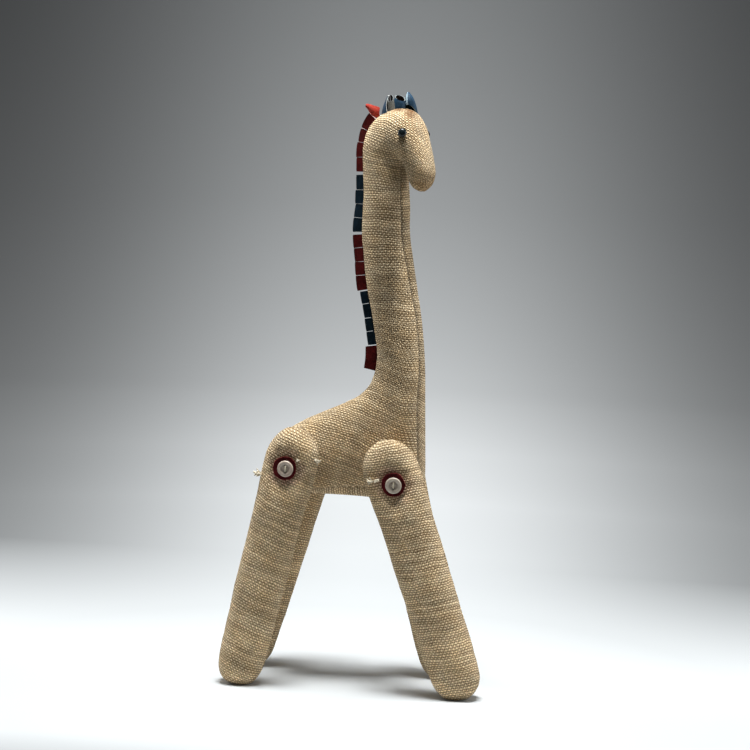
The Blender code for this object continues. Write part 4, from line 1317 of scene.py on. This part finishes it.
leather_piece("forelock_strap", "mane_forelock", forelock_grid(),
              [LIT_RED, RED_EDGE], 0.0013)
leather_piece("right_ear_leaf", "right_ear",
              wrapped((0.0180, -0.0060, 0.6330), (0.0192, -0.0075, 0.6535),
                      (0.0078, 0.0074, 0.0064, 0.0048, 0.0030), ((-262, -92), (-240, -150))),
              [LIT_BLUE, BLUE_EDGE, FLESH_SIDE], back_material=2)
leather_piece("right_horn_roll", "right_horn",
              wrapped((0.0212, -0.0095, 0.6370), (0.0194, -0.0105, 0.6508),
                      (0.0036, 0.0035, 0.0033, 0.0031), ((-250, 102), (-246, 100)),
                      mouth=(0.02, -0.24)),
              [PALE_FLAP, DULL_EDGE, FLESH_SIDE], 0.0008, back_material=2)
leather_piece("left_horn_roll", "left_horn",
              wrapped((0.0282, -0.0040, 0.6365), (0.0292, -0.0045, 0.6516),
                      (0.0065, 0.0066, 0.0065, 0.0061, 0.0053), ((-330, 150), (-330, 150)),
                      mouth=(-0.10, -0.17)),
              [LIT_BLUE, DULL_EDGE, FLESH_SIDE], 0.0009, back_material=2)
leather_piece("left_ear_leaf", "left_ear",
              wrapped((0.0410, 0.0030, 0.6330), (0.0366, 0.0030, 0.6580),
                      (0.0072, 0.0072, 0.0068, 0.0058, 0.0042, 0.0010), ((-112, 170), (-108, 150)),
                      foot=(-0.10, 0.46)),
              [LIT_BLUE, BLUISH_EDGE, SHADED_FLESH_SIDE], 0.0013, back_material=2, band=2)


# ---- floor, backdrop and light -----------------------------------------------------------
def backdrop():
    """A round dish: a pale floor that curves up into a wall that gives off its own light.

    The wall's brightness is fitted to the photograph: by height, and less to both sides behind
    the toy.  The floor in front of the toy is out of the photograph's view.  It is dark so that
    it throws less light back on the toy.
    """
    s = Shader("studio dish")
    where = s.place()
    parts = s.node("SeparateXYZ", {0: where})
    x, y, z = parts.outputs[0], parts.outputs[1], parts.outputs[2]
    flat = s.vector(x, y, 0.0)
    reach = s.node("VectorMath", {0: flat}, operation="LENGTH").outputs["Value"]
    outward = s.math("DIVIDE", s.math("ADD", reach, z), 6.0, clamp=True)
    axis_x = s.math("MULTIPLY_ADD", y, -0.1348, 0.0296)
    width = s.math("MULTIPLY_ADD", s.math("MAXIMUM", y, 0.0), 0.09, 0.35)
    side = s.math("DIVIDE", s.math("SUBTRACT", x, axis_x), width)
    fall = s.math("EXPONENT", s.math("MULTIPLY", s.math("MULTIPLY", side, side), -1.0))
    far = s.math("DIVIDE", s.math("SUBTRACT", y, 0.15), 0.65, clamp=True)
    dim = s.math("MULTIPLY", far, s.math("SUBTRACT", s.spread(fall, 0.20, 1.0), 1.0))
    near = s.math("DIVIDE", s.math("SUBTRACT", -0.34, y), 0.3, clamp=True)
    shade = s.math("MULTIPLY", s.math("ADD", dim, 1.0), s.spread(near, 1.0, 0.16))
    level = s.vector(shade, shade, shade)

    def cool(*stops):
        return [(place, (v * 0.965, v, v * 1.015)) for place, v in stops]

    pale = s.ramp(outward, *cool((0.0, 0.62), (0.08, 0.57), (0.15, 0.45), (0.235, 0.36), (0.35, 0.30),
                                 (1.0, 0.22)))
    glow = s.ramp(outward, *cool((0.075, 0.0), (0.11, 0.14), (0.15, 0.34), (0.235, 0.60), (0.348, 0.66),
                                 (0.505, 0.56), (0.575, 0.49), (0.661, 0.375), (0.74, 0.27),
                                 (0.833, 0.185), (0.865, 0.155), (1.0, 0.10)))
    speck = s.noise(where, 60.0, 3.0)
    bump = s.bump(speck, 0.0004, 0.05)
    looks = s.finish(Base_Color=s.times(pale, level), Roughness=0.9,
                     Specular_IOR_Level=0.1, Normal=bump,
                     Emission_Color=s.times(glow, level), Emission_Strength=1.0)
    corner, radius, turns = 3.2, 1.0, 96
    profile = [(0.3, 0.0), (0.7, 0.0), (1.2, 0.0), (1.8, 0.0), (2.5, 0.0), (corner, 0.0)]
    for k in range(1, 17):
        angle = math.pi / 2 * k / 16
        profile.append((corner + radius * math.sin(angle), radius * (1 - math.cos(angle))))
    profile += [(corner + radius, 2.0), (corner + radius, 3.4)]
    points = [(0.0, 0.0, 0.0)]
    for distance, height in profile:
        for k in range(turns):
            angle = 2 * math.pi * k / turns
            points.append((distance * math.cos(angle), distance * math.sin(angle), height))
    faces = [(0, 1 + k, 1 + (k + 1) % turns) for k in range(turns)]
    for ring in range(len(profile) - 1):
        low, high = 1 + ring * turns, 1 + (ring + 1) * turns
        for k in range(turns):
            after = (k + 1) % turns
            faces.append((low + k, high + k, high + after, low + after))
    made = add_mesh("studio_dish", points, faces, [looks], sharp=None)


def soft_light(name, place, aim, size, power, colour=(1.0, 1.0, 1.0)):
    data = bpy.data.lights.new(name, "AREA")
    data.shape = "RECTANGLE"
    data.size, data.size_y = size
    data.energy = power
    data.color = colour
    made = bpy.data.objects.new(name, data)
    made.location = place
    made.rotation_euler = (Vector(aim) - Vector(place)).to_track_quat("-Z", "Y").to_euler()
    bpy.context.scene.collection.objects.link(made)


backdrop()
soft_light("overhead key", (0.03, -0.20, 2.15), (0.0, 0.06, 0.2), (0.8, 0.5), 78.0,
           (0.975, 0.99, 0.995))
for name, place_x, watts in (("left rim", -1.25, 8.0), ("right rim", 1.25, 7.5)):
    soft_light(name, (place_x, 0.42, 0.75), (0.0, 0.0, 0.35), (0.6, 1.2), watts)
world = bpy.data.worlds.new("studio")
world.use_nodes = True
background = world.node_tree.nodes["Background"]
background.inputs["Color"].default_value = (0.93, 0.95, 0.97, 1.0)
background.inputs["Strength"].default_value = 0.02
bpy.context.scene.world = world
bpy.context.scene.view_settings.view_transform = "Standard"
